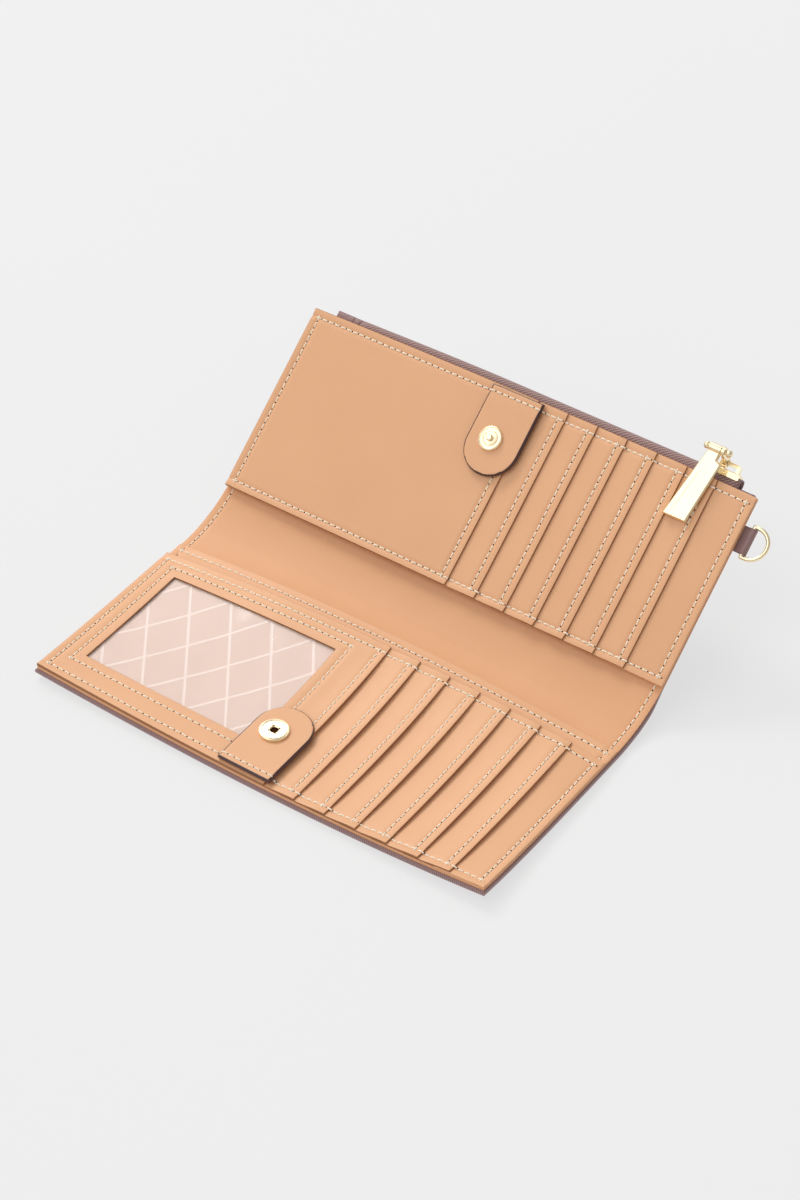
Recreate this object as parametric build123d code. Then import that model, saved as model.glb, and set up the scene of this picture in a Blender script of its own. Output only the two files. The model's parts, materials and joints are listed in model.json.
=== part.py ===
"""Wristlet wallet: a long bifold with card pockets, an identity window and a zipped coin pocket.

Millimetres, +Z up. The wallet stands open: the near half and the spine lie flat and the far half
leans back on its fold. The far half is drawn flat, in its own frame whose origin is the far fold,
and is turned up into place at the end.
"""
from build123d import *
import math
import os

# Overall form
LENGTH = 190.0            # the leather, left to right
NEAR_FOLD_Y = 88.0        # near edge to the near fold
SPINE = 13.4              # fold to fold
FOLD_Z = 2.7              # height of both fold axes: the top of the lining
TILT = 37.85              # lean of the far half, degrees
FAR_FOLD_Y = NEAR_FOLD_Y + SPINE
FOLD_GAP = 0.15           # each body stops this far short of a fold axis
REVEAL = 0.6              # cover left showing round the lining
EDGE_RIM = 3.0            # width of the cover's turned-up edge
SIDE_WALL = 1.5           # thickness of the far cover's closed sides
BOARD_END = 5.0           # stiffener to the end of the leather
BOARD_EDGE = 6.0          # stiffener to the sewn edge
BOARD_FOLD = 4.0          # stiffener to a fold, on the two halves
BOARD_SPINE = 2.0         # stiffener to a fold, on the spine

# Sheet thicknesses
COVER = 1.2
BOARD = 0.9
LINING = 0.5
PANEL = 0.6
POCKET = 0.65
SATIN = 0.3
FILM = 0.18
PLY_GAP = 0.05

# Pockets
NEAR_PANEL_Y = 74.7       # depth of the near card panel
SLIP_Y = 82.5             # depth of the slip pocket behind it
NEAR_FIRST_EDGE = 100.4
NEAR_PITCH = 12.675
FAR_START_Y = 12.8        # far fold to the free edge of the far card panel
FAR_PANEL_Y = 74.4
FAR_FIRST_EDGE = 99.0
FAR_PITCH = 12.55
POCKET_COUNT = 6
TUCK = 6.0                # how far a pocket runs under the one before it
BILL_GAP = 0.5            # room for notes behind the far card panel
LAP_GAP = 0.08            # space between two lapped pockets
STACK = 2 * POCKET + LAP_GAP
RAMP_START = 0.8          # where a pocket begins to climb over the next one
RAMP_END = 0.5
NEAR_TOP = FOLD_Z + PANEL + 2 * PLY_GAP + STACK
FAR_TOP = BILL_GAP + PANEL + 2 * PLY_GAP + STACK

# Identity window
WINDOW_X = (11.4, 83.4)
WINDOW_Y = (13.8, 64.4)
WINDOW_LAP = 6.0          # how far the film and the satin run past the window
FILM_LIFT = 0.03
FRAME_RIM = 3.0

# Snap tabs
TAB_X = (80.2, 102.2)
TAB_T = 2.0
TAB_INSET = 0.8           # tab end to the edge of the leather
TAB_SEAM = 3.4            # tab end to its bending line
SNAP_X = 89.5
SNAP_REACH = 68.3         # the stud to its own fold
SOCKET_OFFSET = 0.2       # the socket is this much nearer to its fold
SNAP_HOLE_R = 2.0         # hole in each tab
TAB_TIP = 13.5            # snap centre to the tab's rounded end
CAP_R = 1.9
CAP_T = 0.3
SOCKET_R = 5.4
SOCKET_T = 1.1
SOCKET_HOLE = 3.4
SOCKET_ROUND = 0.35
STUD_R = 4.65
STUD_T = 0.8
STUD_ROUND = 0.3
STUD_STEP = (2.2, 0.5)    # radius and height of the step round the nub
STUD_GROOVE = (2.9, 3.5)
GROOVE_T = 0.3
SHANK_R = 1.4
NUB_R = 1.3
NUB_H = 1.5
NUB_ROUND = 0.5

# Zip
ZIP_X = (18.0, 181.0)
FAR_EDGE = FAR_START_Y + FAR_PANEL_Y
COVER_DROP = 3.9          # how much lower the cover is at the zip than at the fold
TAPE = 0.5
ZIP_TOP = FAR_EDGE + 2.6  # underside of the chain
COIL_H = 1.7
COIL_W = 0.95
ZIP_MID_Z = -2.95
ZIP_ROOT = 2.1            # mid-plane of the zip to the outside of each tape
ZIP_NECK = 0.75           # the same where the tape meets the coil
TAPE_SEWN = 5.5           # how far the tape runs in under the leather
STOP_L = 1.55
STOP_H = 1.2
END_TAB = (7.0, 16.3, 2.4)    # left, right and height above the chain's underside
TAIL = (182.7, 188.4, 1.2)
END_ROOT = 2.2
END_CROWN = 1.8
COIN_START = 22.0         # far fold to the coin pocket's lining
COIN_END = 4.0
COIN_EDGE = 6.5
SLIDER_X = 174.1
SLIDER_L = 11.0
SLIDER_W = 4.6
SLIDER_T = 1.1
SLIDER_CLEAR = 0.15       # slider to the coil
CHANNEL = 1.35
BRIDGE_L = 8.4
BRIDGE_W = 1.6
BRIDGE_ROUND = 1.4
BRIDGE_Y = ZIP_TOP + 5.4
BRIDGE_T = 1.3
LINK_X = (171.5, 172.7)
LINK_HOLE = 1.2
CROSSBAR_Y = FAR_EDGE + 10.1
CROSSBAR_Z = 3.95
CROSSBAR_R = 0.8
KNOB_R = 1.35
PULL_T = 1.6
PULL_TIP_Y = 68.8
PULL_FOOT = (161.4, 170.8)
PULL_SHOULDER = 173.4     # right edge where the pull is widest
PULL_SHOULDER_Y = CROSSBAR_Y - 4.9
PULL_NECK = (166.65, 171.2)
PULL_BEVEL = 0.45
PULL_LEAN = 0.35          # how much lower the tip is than the crossbar
SLEEVE_R = 1.7
PANEL_IN = 2.3            # margin round the pull's sunk panel
PANEL_DEEP = 0.15

# Strap ring
RING_MID_Y = 72.2
RING_BAR_X = 193.1
RING_BAR_Z = -1.75
RING_R = 5.85
RING_ARM = 1.6
WIRE_R = 0.8
RING_TAB_W = 9.8
RING_TAB_EYE = 1.5
RING_TAB_HALF = 0.65      # half the thickness of the loop's strap
RING_TAB_ROOT = 3.4       # how far the strap runs in from the end of the leather
RUN_FIT = 0.06            # clearance of a pin in its hole


def slab(x, y, z):
    """A box given by its (low, high) along each axis."""
    size = [high - low for low, high in (x, y, z)]
    middle = [(high + low) / 2 for low, high in (x, y, z)]
    return Pos(*middle) * Box(*size)


def along_x(points, x):
    """A (y, z) outline drawn out from x[0] to x[1]."""
    face = Plane.YZ * Polygon(*points, align=None)
    return Pos(x[0], 0, 0) * extrude(face, amount=x[1] - x[0], dir=(1, 0, 0))


def along_y(points, y):
    """An (x, z) outline drawn out from y[0] to y[1]."""
    face = Plane.XZ * Polygon(*points, align=None)
    return Pos(0, y[0], 0) * extrude(face, amount=y[1] - y[0], dir=(0, 1, 0))


def rod(x, y, z, radius):
    """A round bar along X."""
    middle = (x[0] + x[1]) / 2
    return Pos(middle, y, z) * Rot(0, 90, 0) * Cylinder(radius, x[1] - x[0])


def sheet(y, z, inset=0.0):
    """A flat ply over the whole length, less an inset at each end."""
    return slab((inset, LENGTH - inset), y, z)


def pocket_strip(left, right, y, floor):
    """A pocket front: its left end is tucked low, its right edge lies over the next pocket."""
    rise = POCKET + LAP_GAP
    ramp = (left + RAMP_START, right - TUCK - RAMP_END)
    points = [
        (left - TUCK, floor), (ramp[0], floor), (ramp[1], floor + rise), (right, floor + rise),
        (right, floor + STACK), (ramp[1], floor + STACK),
        (ramp[0], floor + POCKET), (left - TUCK, floor + POCKET),
    ]
    return along_y(points, y)


def pocket_row(prefix, first, pitch, y, floor):
    """The overlapping pocket fronts of one half and the base panel that they end on."""
    nodes = {}
    for index in range(POCKET_COUNT):
        left = first + index * pitch
        nodes[f"{prefix}_card_pocket_{index + 1}"] = pocket_strip(left, left + pitch, y, floor)
    last = first + POCKET_COUNT * pitch
    nodes[f"{prefix}_base_panel"] = slab((last - TUCK, LENGTH), y, (floor, floor + POCKET))
    return nodes


def lapped_panel(right, y, floor):
    """A full-height front panel: a plate held up on a rim round three sides."""
    lift = floor + POCKET + LAP_GAP
    plate = slab((0, right), y, (lift, floor + STACK))
    hollow = slab((FRAME_RIM, right), (y[0] + FRAME_RIM, y[1] - FRAME_RIM), (floor, lift))
    rim = slab((0, right - TUCK - PLY_GAP), y, (floor, lift)) - hollow
    return plate + rim


def cover_tray(y, closed_near):
    """Outer cover of a flat stretch, with its turned-up edge at the sides and the near edge."""
    x = (-REVEAL, LENGTH + REVEAL)
    skin = slab(x, y, (0, COVER))
    top = FOLD_Z - LINING - PLY_GAP
    rim = EDGE_RIM + REVEAL
    walls = skin
    for side in ((x[0], x[0] + rim), (x[1] - rim, x[1])):
        walls += slab(side, y, (COVER, top))
    if closed_near:
        walls += slab(x, (y[0], y[0] + rim), (COVER, top))
    return walls


def near_half():
    """Everything sewn to the half that lies flat."""
    lining_z = (FOLD_Z - LINING, FOLD_Z)
    board_z = (COVER + PLY_GAP, COVER + PLY_GAP + BOARD)
    slip_z = (FOLD_Z + PLY_GAP, FOLD_Z + PLY_GAP + PANEL)
    floor = slip_z[1] + PLY_GAP
    depth = (0, NEAR_PANEL_Y)
    stop = NEAR_FOLD_Y - FOLD_GAP
    frame = lapped_panel(NEAR_FIRST_EDGE, depth, floor)
    frame -= slab(WINDOW_X, WINDOW_Y, (floor, floor + STACK))
    film_top = floor + POCKET + FILM_LIFT
    behind_x = (WINDOW_X[0] - WINDOW_LAP, WINDOW_X[1] + WINDOW_LAP)
    behind_y = (WINDOW_Y[0] - WINDOW_LAP, WINDOW_Y[1] + WINDOW_LAP)
    nodes = {
        "outer_cover_near": cover_tray((-REVEAL, stop), True),
        "near_board": sheet((BOARD_EDGE, stop - BOARD_FOLD), board_z, BOARD_END),
        "near_lining": sheet((0, stop), lining_z),
        "near_slip_panel": sheet((0, SLIP_Y), slip_z),
        "id_frame": frame,
        "id_window_film": slab(behind_x, behind_y, (film_top - FILM, film_top)),
        "id_pocket_lining": slab(behind_x, behind_y, (floor, floor + SATIN)),
        "socket_tab_base": tab_base(TAB_INSET, floor + STACK + PLY_GAP, 1),
    }
    nodes.update(pocket_row("near", NEAR_FIRST_EDGE, NEAR_PITCH, depth, floor))
    return nodes


def spine():
    """The strip between the two folds."""
    y = (NEAR_FOLD_Y + FOLD_GAP, FAR_FOLD_Y - FOLD_GAP)
    board_y = (y[0] + BOARD_SPINE, y[1] - BOARD_SPINE)
    board_z = (COVER + PLY_GAP, COVER + PLY_GAP + BOARD)
    return {
        "outer_cover_spine": cover_tray(y, False),
        "spine_board": sheet(board_y, board_z, BOARD_END),
        "spine_lining": sheet(y, (FOLD_Z - LINING, FOLD_Z)),
    }


def tab_base(end, bottom, toward):
    """The end of a snap tab that the seam holds down. toward is the way that the tab points."""
    y = sorted((end, end + toward * (TAB_SEAM - PLY_GAP)))
    return slab(TAB_X, y, (bottom, bottom + TAB_T))


def tab_leather(end, snap_y, bottom, toward):
    """The free part of a snap tab: straight sides into a round end, with a hole for the snap."""
    start = end + toward * (TAB_SEAM + PLY_GAP)
    middle = (TAB_X[0] + TAB_X[1]) / 2
    half = (TAB_X[1] - TAB_X[0]) / 2
    round_y = snap_y + toward * (TAB_TIP - half)
    tongue = slab(TAB_X, sorted((start, round_y)), (bottom, bottom + TAB_T))
    tip = Pos(middle, round_y, bottom + TAB_T / 2) * Cylinder(half, TAB_T)
    hole = Pos(SNAP_X, snap_y, bottom + TAB_T / 2) * Cylinder(SNAP_HOLE_R, 2 * TAB_T)
    return tongue + tip - hole


def socket_tab(floor_top):
    """Tab of the near half with the socket of the snap."""
    bottom = floor_top + PLY_GAP
    snap_y = NEAR_FOLD_Y - SNAP_REACH + SOCKET_OFFSET
    top = bottom + TAB_T
    disc = Pos(SNAP_X, snap_y, top + SOCKET_T / 2) * Cylinder(SOCKET_R, SOCKET_T)
    disc = fillet(disc.edges().group_by(Axis.Z)[-1], SOCKET_ROUND)
    disc -= Pos(SNAP_X, snap_y, top) * Box(SOCKET_HOLE, SOCKET_HOLE, 4 * SOCKET_T)
    cap = Pos(SNAP_X, snap_y, bottom + CAP_T / 2) * Cylinder(CAP_R, CAP_T)
    return {
        "socket_tab_leather": tab_leather(TAB_INSET, snap_y, bottom, 1),
        "snap_socket": disc,
        "snap_socket_cap": cap,
    }


def stud_tab(floor_top):
    """Tab of the far half with the stud of the snap."""
    bottom = floor_top + PLY_GAP
    top = bottom + TAB_T
    face = top + STUD_T
    washer = Pos(SNAP_X, SNAP_REACH, top + STUD_T / 2) * Cylinder(STUD_R, STUD_T)
    washer = fillet(washer.edges().group_by(Axis.Z)[-1], STUD_ROUND)
    step = Pos(SNAP_X, SNAP_REACH, face) * Cylinder(*STUD_STEP)
    nub = Pos(SNAP_X, SNAP_REACH, face + NUB_H / 2) * Cylinder(NUB_R, NUB_H)
    nub = fillet(nub.edges().group_by(Axis.Z)[-1], NUB_ROUND)
    ring = Cylinder(STUD_GROOVE[1], GROOVE_T) - Cylinder(STUD_GROOVE[0], 2 * GROOVE_T)
    groove = Pos(SNAP_X, SNAP_REACH, face) * ring
    shank_h = TAB_T - CAP_T
    shank = Pos(SNAP_X, SNAP_REACH, top - shank_h / 2 + PLY_GAP) * Cylinder(SHANK_R, shank_h - PLY_GAP)
    cap = Pos(SNAP_X, SNAP_REACH, bottom + CAP_T / 2) * Cylinder(CAP_R, CAP_T)
    return {
        "stud_tab_leather": tab_leather(FAR_EDGE - TAB_INSET, SNAP_REACH, bottom, -1),
        "snap_stud": washer + step + nub - groove + shank,
        "snap_stud_cap": cap,
    }


def far_cover():
    """Outer cover of the far half: it drops away towards the zip, and its sides close the pocket."""
    x = (-REVEAL, LENGTH + REVEAL)
    start = FOLD_GAP
    end = FAR_EDGE + REVEAL
    top = -LINING - PLY_GAP
    inner = (-FOLD_Z + COVER, -FOLD_Z + COVER - COVER_DROP)
    skin = [(start, inner[0] - COVER), (end, inner[1] - COVER), (end, inner[1]), (start, inner[0])]
    wall = [(start, inner[0] - COVER), (end, inner[1] - COVER), (end, top), (start, top)]
    cover = along_x(skin, x)
    for side in ((x[0], x[0] + SIDE_WALL), (x[1] - SIDE_WALL, x[1])):
        cover += along_x(wall, side)
    slot = RING_TAB_W / 2 + 2 * PLY_GAP
    slot_z = (RING_BAR_Z - RING_TAB_HALF - 3 * PLY_GAP, top + 2 * PLY_GAP)
    return cover - slab((LENGTH - 2, LENGTH + 2), (RING_MID_Y - slot, RING_MID_Y + slot), slot_z)


def coin_linings():
    """The two cloth walls inside the zipped pocket."""
    slope = -COVER_DROP / (FAR_EDGE + REVEAL - FOLD_GAP)
    y = (COIN_START, FAR_EDGE - COIN_EDGE)
    low = [-FOLD_Z + COVER + PLY_GAP + slope * v for v in y]
    outer = [(y[0], low[0]), (y[1], low[1]), (y[1], low[1] + SATIN), (y[0], low[0] + SATIN)]
    roof = -LINING - 2 * PLY_GAP - BOARD
    return {
        "coin_lining_outer": along_x(outer, (COIN_END, LENGTH - COIN_END)),
        "coin_lining_inner": sheet(y, (roof - SATIN, roof), COIN_END),
    }


def zip_half(side):
    """Tape and coil on one side of the zip. side is 1 next to the lining, -1 next to the cover."""
    root, neck = ZIP_ROOT, ZIP_NECK
    sewn = FAR_EDGE - TAPE_SEWN
    half = [
        (sewn, root), (FAR_EDGE + 0.4, root), (ZIP_TOP - 0.7, root - 0.9),
        (ZIP_TOP - 0.1, neck), (ZIP_TOP - 0.1, neck - TAPE), (ZIP_TOP - 0.9, root - 1.5),
        (FAR_EDGE + 0.2, root - TAPE), (sewn, root - TAPE),
    ]
    tape = along_x([(y, ZIP_MID_Z + side * z) for y, z in half], ZIP_X)
    coil_z = sorted((ZIP_MID_Z + side * 0.02, ZIP_MID_Z + side * COIL_W))
    coil = slab(ZIP_X, (ZIP_TOP, ZIP_TOP + COIL_H), coil_z)
    ridge = coil.edges().filter_by(Axis.X).group_by(Axis.Y)[-1]
    return tape, fillet(ridge, 0.4)


def zip_block(left, right, grow):
    """A block over the full section of the zip, as at its ends."""
    points = [
        (FAR_EDGE + 0.8, ZIP_MID_Z - END_ROOT), (ZIP_TOP + grow, ZIP_MID_Z - END_CROWN),
        (ZIP_TOP + grow, ZIP_MID_Z + END_CROWN), (FAR_EDGE + 0.8, ZIP_MID_Z + END_ROOT),
    ]
    block = along_x(points, (left, right))
    ends = block.edges().filter_by(Axis.X).group_by(Axis.Y)[-1]
    return fillet(ends, 0.6)


def zip_chain():
    """The fixed parts of the zip."""
    tape_in, coil_in = zip_half(1)
    tape_out, coil_out = zip_half(-1)
    stop_y = (ZIP_TOP, ZIP_TOP + COIL_H)
    stop_z = (ZIP_MID_Z - STOP_H, ZIP_MID_Z + STOP_H)
    left_stop = slab((ZIP_X[0] - PLY_GAP - STOP_L, ZIP_X[0] - PLY_GAP), stop_y, stop_z)
    right_stop = slab((ZIP_X[1] + PLY_GAP, ZIP_X[1] + PLY_GAP + STOP_L), stop_y, stop_z)
    return {
        "zip_tape_inner": tape_in,
        "zip_tape_outer": tape_out,
        "zip_coil_inner": coil_in,
        "zip_coil_outer": coil_out,
        "zip_stops": Compound(children=[left_stop, right_stop]),
        "zip_end_tab": zip_block(*END_TAB),
        "zip_tail": zip_block(*TAIL),
    }


def zip_slider():
    """Slider over the chain, with the bridge that holds the pull."""
    wide = SLIDER_W / 2
    half = SLIDER_L / 2
    outline = [
        (SLIDER_X - half, ZIP_MID_Z - wide + 0.5), (SLIDER_X + 1, ZIP_MID_Z - wide - 0.2),
        (SLIDER_X + half, ZIP_MID_Z - wide + 0.4), (SLIDER_X + half, ZIP_MID_Z + wide - 0.4),
        (SLIDER_X + 1, ZIP_MID_Z + wide + 0.2), (SLIDER_X - half, ZIP_MID_Z + wide - 0.5),
    ]
    base = ZIP_TOP + 0.5
    under = ZIP_TOP + COIL_H + SLIDER_CLEAR
    plate_y = (under, under + SLIDER_T)
    shoe = along_y(outline, (base, plate_y[1]))
    shoe = fillet(shoe.edges().group_by(Axis.Y)[-1], 0.4)
    channel = slab((SLIDER_X - SLIDER_L, SLIDER_X + SLIDER_L), (base - 1, plate_y[0]),
                   (ZIP_MID_Z - CHANNEL, ZIP_MID_Z + CHANNEL))
    crown = BRIDGE_Y + BRIDGE_T / 2
    span = BRIDGE_L / 2
    bridge_z = (ZIP_MID_Z - BRIDGE_W / 2, ZIP_MID_Z + BRIDGE_W / 2)
    arch = slab((SLIDER_X - span, SLIDER_X + span), (plate_y[1] - 0.4, crown), bridge_z)
    arch = fillet(arch.edges().filter_by(Axis.Z).group_by(Axis.Y)[-1], BRIDGE_ROUND)
    inner = span - BRIDGE_T
    arch -= slab((SLIDER_X - inner, SLIDER_X + inner), (plate_y[1], crown - BRIDGE_T),
                 (ZIP_MID_Z - BRIDGE_W, ZIP_MID_Z + BRIDGE_W))
    return {"zip_slider": shoe - channel + arch}


def pull_link():
    """Flat link from the slider's bridge to the pull's crossbar."""
    x = LINK_X
    far = (BRIDGE_Y, ZIP_MID_Z)
    near = (CROSSBAR_Y, CROSSBAR_Z)
    dy, dz = near[0] - far[0], near[1] - far[1]
    reach = math.hypot(dy, dz)
    ny, nz = -dz / reach, dy / reach
    half = 1.35
    web = [(far[0] + ny * half, far[1] + nz * half), (near[0] + ny * half, near[1] + nz * half),
           (near[0] - ny * half, near[1] - nz * half), (far[0] - ny * half, far[1] - nz * half)]
    link = along_x(web, x) + rod(x, *far, LINK_HOLE + 0.85) + rod(x, *near, CROSSBAR_R + 0.9)
    wide = (x[0] - 1, x[1] + 1)
    link -= rod(wide, *far, LINK_HOLE)
    link -= rod(wide, *near, CROSSBAR_R + 0.1)
    return {"pull_link": link}


def pull_edges(y):
    """Left and right edges of the pull at y, below its shoulder."""
    left = (y - PULL_TIP_Y) / (CROSSBAR_Y - PULL_TIP_Y)
    right = (y - PULL_TIP_Y) / (PULL_SHOULDER_Y - PULL_TIP_Y)
    return (
        PULL_FOOT[0] + left * (PULL_NECK[0] - PULL_FOOT[0]),
        PULL_FOOT[1] + right * (PULL_SHOULDER - PULL_FOOT[1]),
    )


def pull_plate():
    """Flat pull, cut back at the shoulder to clear the link, with a sleeve and a sunk panel."""
    outline = [
        (PULL_FOOT[0], PULL_TIP_Y), (PULL_FOOT[1], PULL_TIP_Y), (PULL_SHOULDER, PULL_SHOULDER_Y),
        (PULL_NECK[1], PULL_SHOULDER_Y + 0.9), (PULL_NECK[1], CROSSBAR_Y), (PULL_NECK[0], CROSSBAR_Y),
    ]
    face = Plane.XY * Polygon(*outline, align=None)
    plate = Pos(0, 0, CROSSBAR_Z - PULL_T / 2) * extrude(face, amount=PULL_T, dir=(0, 0, 1))
    plate = chamfer(plate.edges().group_by(Axis.Z)[-1], PULL_BEVEL)
    plate += rod(PULL_NECK, CROSSBAR_Y, CROSSBAR_Z, SLEEVE_R)
    plate -= rod((PULL_NECK[0] - 1, PULL_NECK[1] + 1), CROSSBAR_Y, CROSSBAR_Z, CROSSBAR_R)
    panel = []
    for y, order in ((PULL_TIP_Y + PANEL_IN, 1), (PULL_SHOULDER_Y - 2 * PANEL_IN, -1)):
        left, right = pull_edges(y)
        panel += [(left + PANEL_IN, y), (right - PANEL_IN, y)][::order]
    sunk = extrude(Plane.XY * Polygon(*panel, align=None), amount=PULL_T, dir=(0, 0, 1))
    return plate - Pos(0, 0, CROSSBAR_Z + PULL_T / 2 - PANEL_DEEP) * sunk


def crossbar():
    """Bar with a ball at each end."""
    knobs = (PULL_NECK[0] - KNOB_R, LINK_X[1] + SLIDER_CLEAR + KNOB_R)
    profile = Pos(sum(knobs) / 2, 0) * Rectangle(knobs[1] - knobs[0], 2 * CROSSBAR_R)
    for x in knobs:
        profile += Pos(x, 0) * Circle(KNOB_R)
    reach = knobs[1] + 2 * KNOB_R
    profile &= Pos(reach / 2, reach / 2) * Rectangle(2 * reach, reach)
    return Pos(0, CROSSBAR_Y, CROSSBAR_Z) * revolve(profile, Axis.X)


def zip_pull():
    """The pull, leaning a little on its crossbar, and the crossbar."""
    lean = math.degrees(math.asin(PULL_LEAN / (CROSSBAR_Y - PULL_TIP_Y)))
    hinge = Pos(0, CROSSBAR_Y, CROSSBAR_Z) * Rot(lean, 0, 0) * Pos(0, -CROSSBAR_Y, -CROSSBAR_Z)
    return {"zip_pull": hinge * pull_plate(), "pull_crossbar": crossbar()}


def strap_ring():
    """D-shaped ring: a straight bar, two short arms and a half round."""
    centre_x = RING_BAR_X + RING_ARM
    span = (RING_MID_Y - RING_R, RING_MID_Y + RING_R)
    ring = Pos(RING_BAR_X, RING_MID_Y, RING_BAR_Z) * Rot(90, 0, 0) * Cylinder(WIRE_R, 2 * RING_R)
    for y in span:
        ring += Pos(RING_BAR_X, y, RING_BAR_Z) * Sphere(WIRE_R)
        ring += rod((RING_BAR_X, centre_x), y, RING_BAR_Z, WIRE_R)
    hoop = Torus(RING_R, WIRE_R) & Pos(RING_R, 0, 0) * Box(2 * RING_R, 4 * RING_R, 4 * WIRE_R)
    return {"d_ring": ring + Pos(centre_x, RING_MID_Y, RING_BAR_Z) * hoop}


def ring_tab():
    """Leather loop that holds the ring's bar at the right-hand side of the far half."""
    y = (RING_MID_Y - RING_TAB_W / 2, RING_MID_Y + RING_TAB_W / 2)
    strap_z = (RING_BAR_Z - RING_TAB_HALF, RING_BAR_Z + RING_TAB_HALF)
    strap = slab((LENGTH - RING_TAB_ROOT, RING_BAR_X), y, strap_z)
    turn = Pos(RING_BAR_X, RING_MID_Y, RING_BAR_Z) * Rot(90, 0, 0)
    loop = strap + turn * Cylinder(RING_TAB_EYE, RING_TAB_W)
    return loop - turn * Cylinder(WIRE_R + RUN_FIT, 2 * RING_TAB_W)


def far_half():
    """Everything sewn to the leaning half, drawn flat with the far fold at the origin."""
    wall_z = (BILL_GAP + PLY_GAP, BILL_GAP + PLY_GAP + PANEL)
    floor = wall_z[1] + PLY_GAP
    depth = (FAR_START_Y, FAR_EDGE)
    bill_wall = sheet(depth, wall_z)
    for x in ((0, EDGE_RIM), (LENGTH - EDGE_RIM, LENGTH)):
        bill_wall += slab(x, depth, (PLY_GAP, wall_z[0]))
    bill_wall += sheet((FAR_EDGE - EDGE_RIM, FAR_EDGE), (PLY_GAP, wall_z[0]))
    board_z = (-LINING - PLY_GAP - BOARD, -LINING - PLY_GAP)
    nodes = {
        "outer_cover_far": far_cover(),
        "far_board": sheet((FOLD_GAP + BOARD_FOLD, FAR_EDGE - BOARD_EDGE), board_z, BOARD_END),
        "far_lining": sheet((FOLD_GAP, FAR_EDGE), (-LINING, 0)),
        "bill_pocket_wall": bill_wall,
        "far_flat_pocket": lapped_panel(FAR_FIRST_EDGE, depth, floor),
        "stud_tab_base": tab_base(FAR_EDGE - TAB_INSET, floor + STACK + PLY_GAP, -1),
        "d_ring_tab": ring_tab(),
    }
    nodes.update(pocket_row("far", FAR_FIRST_EDGE, FAR_PITCH, depth, floor))
    nodes.update(coin_linings())
    nodes.update(zip_chain())
    return nodes


def place_far(shape):
    """Turns a piece of the far half up about the far fold."""
    return Pos(0, FAR_FOLD_Y, FOLD_Z) * Rot(TILT, 0, 0) * shape


def bodies():
    """Every node, grouped by the body that it belongs to, before the origin is set."""
    leaning = {
        "far_half": far_half(),
        "stud_tab": stud_tab(FAR_TOP),
        "zip_slider": zip_slider(),
        "pull_link": pull_link(),
        "zip_pull": zip_pull(),
        "d_ring": strap_ring(),
    }
    groups = {"near_half": near_half(), "spine": spine(), "socket_tab": socket_tab(NEAR_TOP)}
    for body, nodes in leaning.items():
        groups[body] = {name: place_far(shape) for name, shape in nodes.items()}
    return groups


def origin_shift(groups):
    """Moves the middle of the underside of the whole wallet to the origin."""
    boxes = [shape.bounding_box() for nodes in groups.values() for shape in nodes.values()]
    low = [min(getattr(box.min, axis) for box in boxes) for axis in "XYZ"]
    high = [max(getattr(box.max, axis) for box in boxes) for axis in "XYZ"]
    return Vector(-(low[0] + high[0]) / 2, -(low[1] + high[1]) / 2, -low[2])


def main():
    """Writes one STEP file for each node."""
    os.makedirs("parts", exist_ok=True)
    groups = bodies()
    shift = origin_shift(groups)
    for nodes in groups.values():
        for name, shape in nodes.items():
            export_step(Pos(*shift) * shape, f"parts/{name}.step")


if __name__ == "__main__":
    main()
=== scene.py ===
"""Wristlet wallet: leather, thread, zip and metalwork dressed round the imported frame.

Everything is in metres. A place on one half is written (x, v, h): along the folds from the left
end, away from the near edge (near half) or the far fold (far half), and up off that half.
"""
import json
import logging
import math
from dataclasses import dataclass, field
from enum import Enum
from typing import Callable, Sequence

import bmesh
import bpy
import numpy as np
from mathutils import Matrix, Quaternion, Vector


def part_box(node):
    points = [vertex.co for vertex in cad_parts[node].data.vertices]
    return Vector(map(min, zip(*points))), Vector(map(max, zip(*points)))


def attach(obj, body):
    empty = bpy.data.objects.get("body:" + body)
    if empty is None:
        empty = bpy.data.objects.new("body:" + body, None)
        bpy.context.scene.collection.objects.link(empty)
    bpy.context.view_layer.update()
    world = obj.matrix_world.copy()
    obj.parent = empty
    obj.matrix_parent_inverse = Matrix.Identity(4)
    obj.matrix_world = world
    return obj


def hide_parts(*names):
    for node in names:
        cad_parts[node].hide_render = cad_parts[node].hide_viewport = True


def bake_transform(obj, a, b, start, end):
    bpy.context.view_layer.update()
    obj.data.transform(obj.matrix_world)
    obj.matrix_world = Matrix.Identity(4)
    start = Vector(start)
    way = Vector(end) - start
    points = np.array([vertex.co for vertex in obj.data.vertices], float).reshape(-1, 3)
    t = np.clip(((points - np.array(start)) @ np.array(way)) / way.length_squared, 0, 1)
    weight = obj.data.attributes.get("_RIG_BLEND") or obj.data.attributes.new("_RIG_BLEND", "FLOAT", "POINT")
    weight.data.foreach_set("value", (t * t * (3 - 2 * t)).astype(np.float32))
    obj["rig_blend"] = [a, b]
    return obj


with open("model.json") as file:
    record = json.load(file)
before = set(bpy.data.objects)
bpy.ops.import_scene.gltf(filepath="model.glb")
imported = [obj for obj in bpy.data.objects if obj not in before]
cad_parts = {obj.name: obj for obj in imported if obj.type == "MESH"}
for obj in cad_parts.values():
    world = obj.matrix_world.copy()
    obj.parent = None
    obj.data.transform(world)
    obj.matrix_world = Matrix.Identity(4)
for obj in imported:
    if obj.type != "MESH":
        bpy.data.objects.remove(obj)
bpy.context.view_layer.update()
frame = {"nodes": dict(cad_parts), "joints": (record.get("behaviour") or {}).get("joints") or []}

LOG = logging.getLogger("wristlet_wallet")
MM = 0.001
WELD = 1e-7                # points nearer than this are one point
SEAM_IN = 3.0 * MM         # seam to the leather's edge
CORNER_CURL = 2.6 * MM     # lift of the near half's corners
NEAR_BULGE = 1.2 * MM      # how far the middle of the near edge stands out
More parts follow.
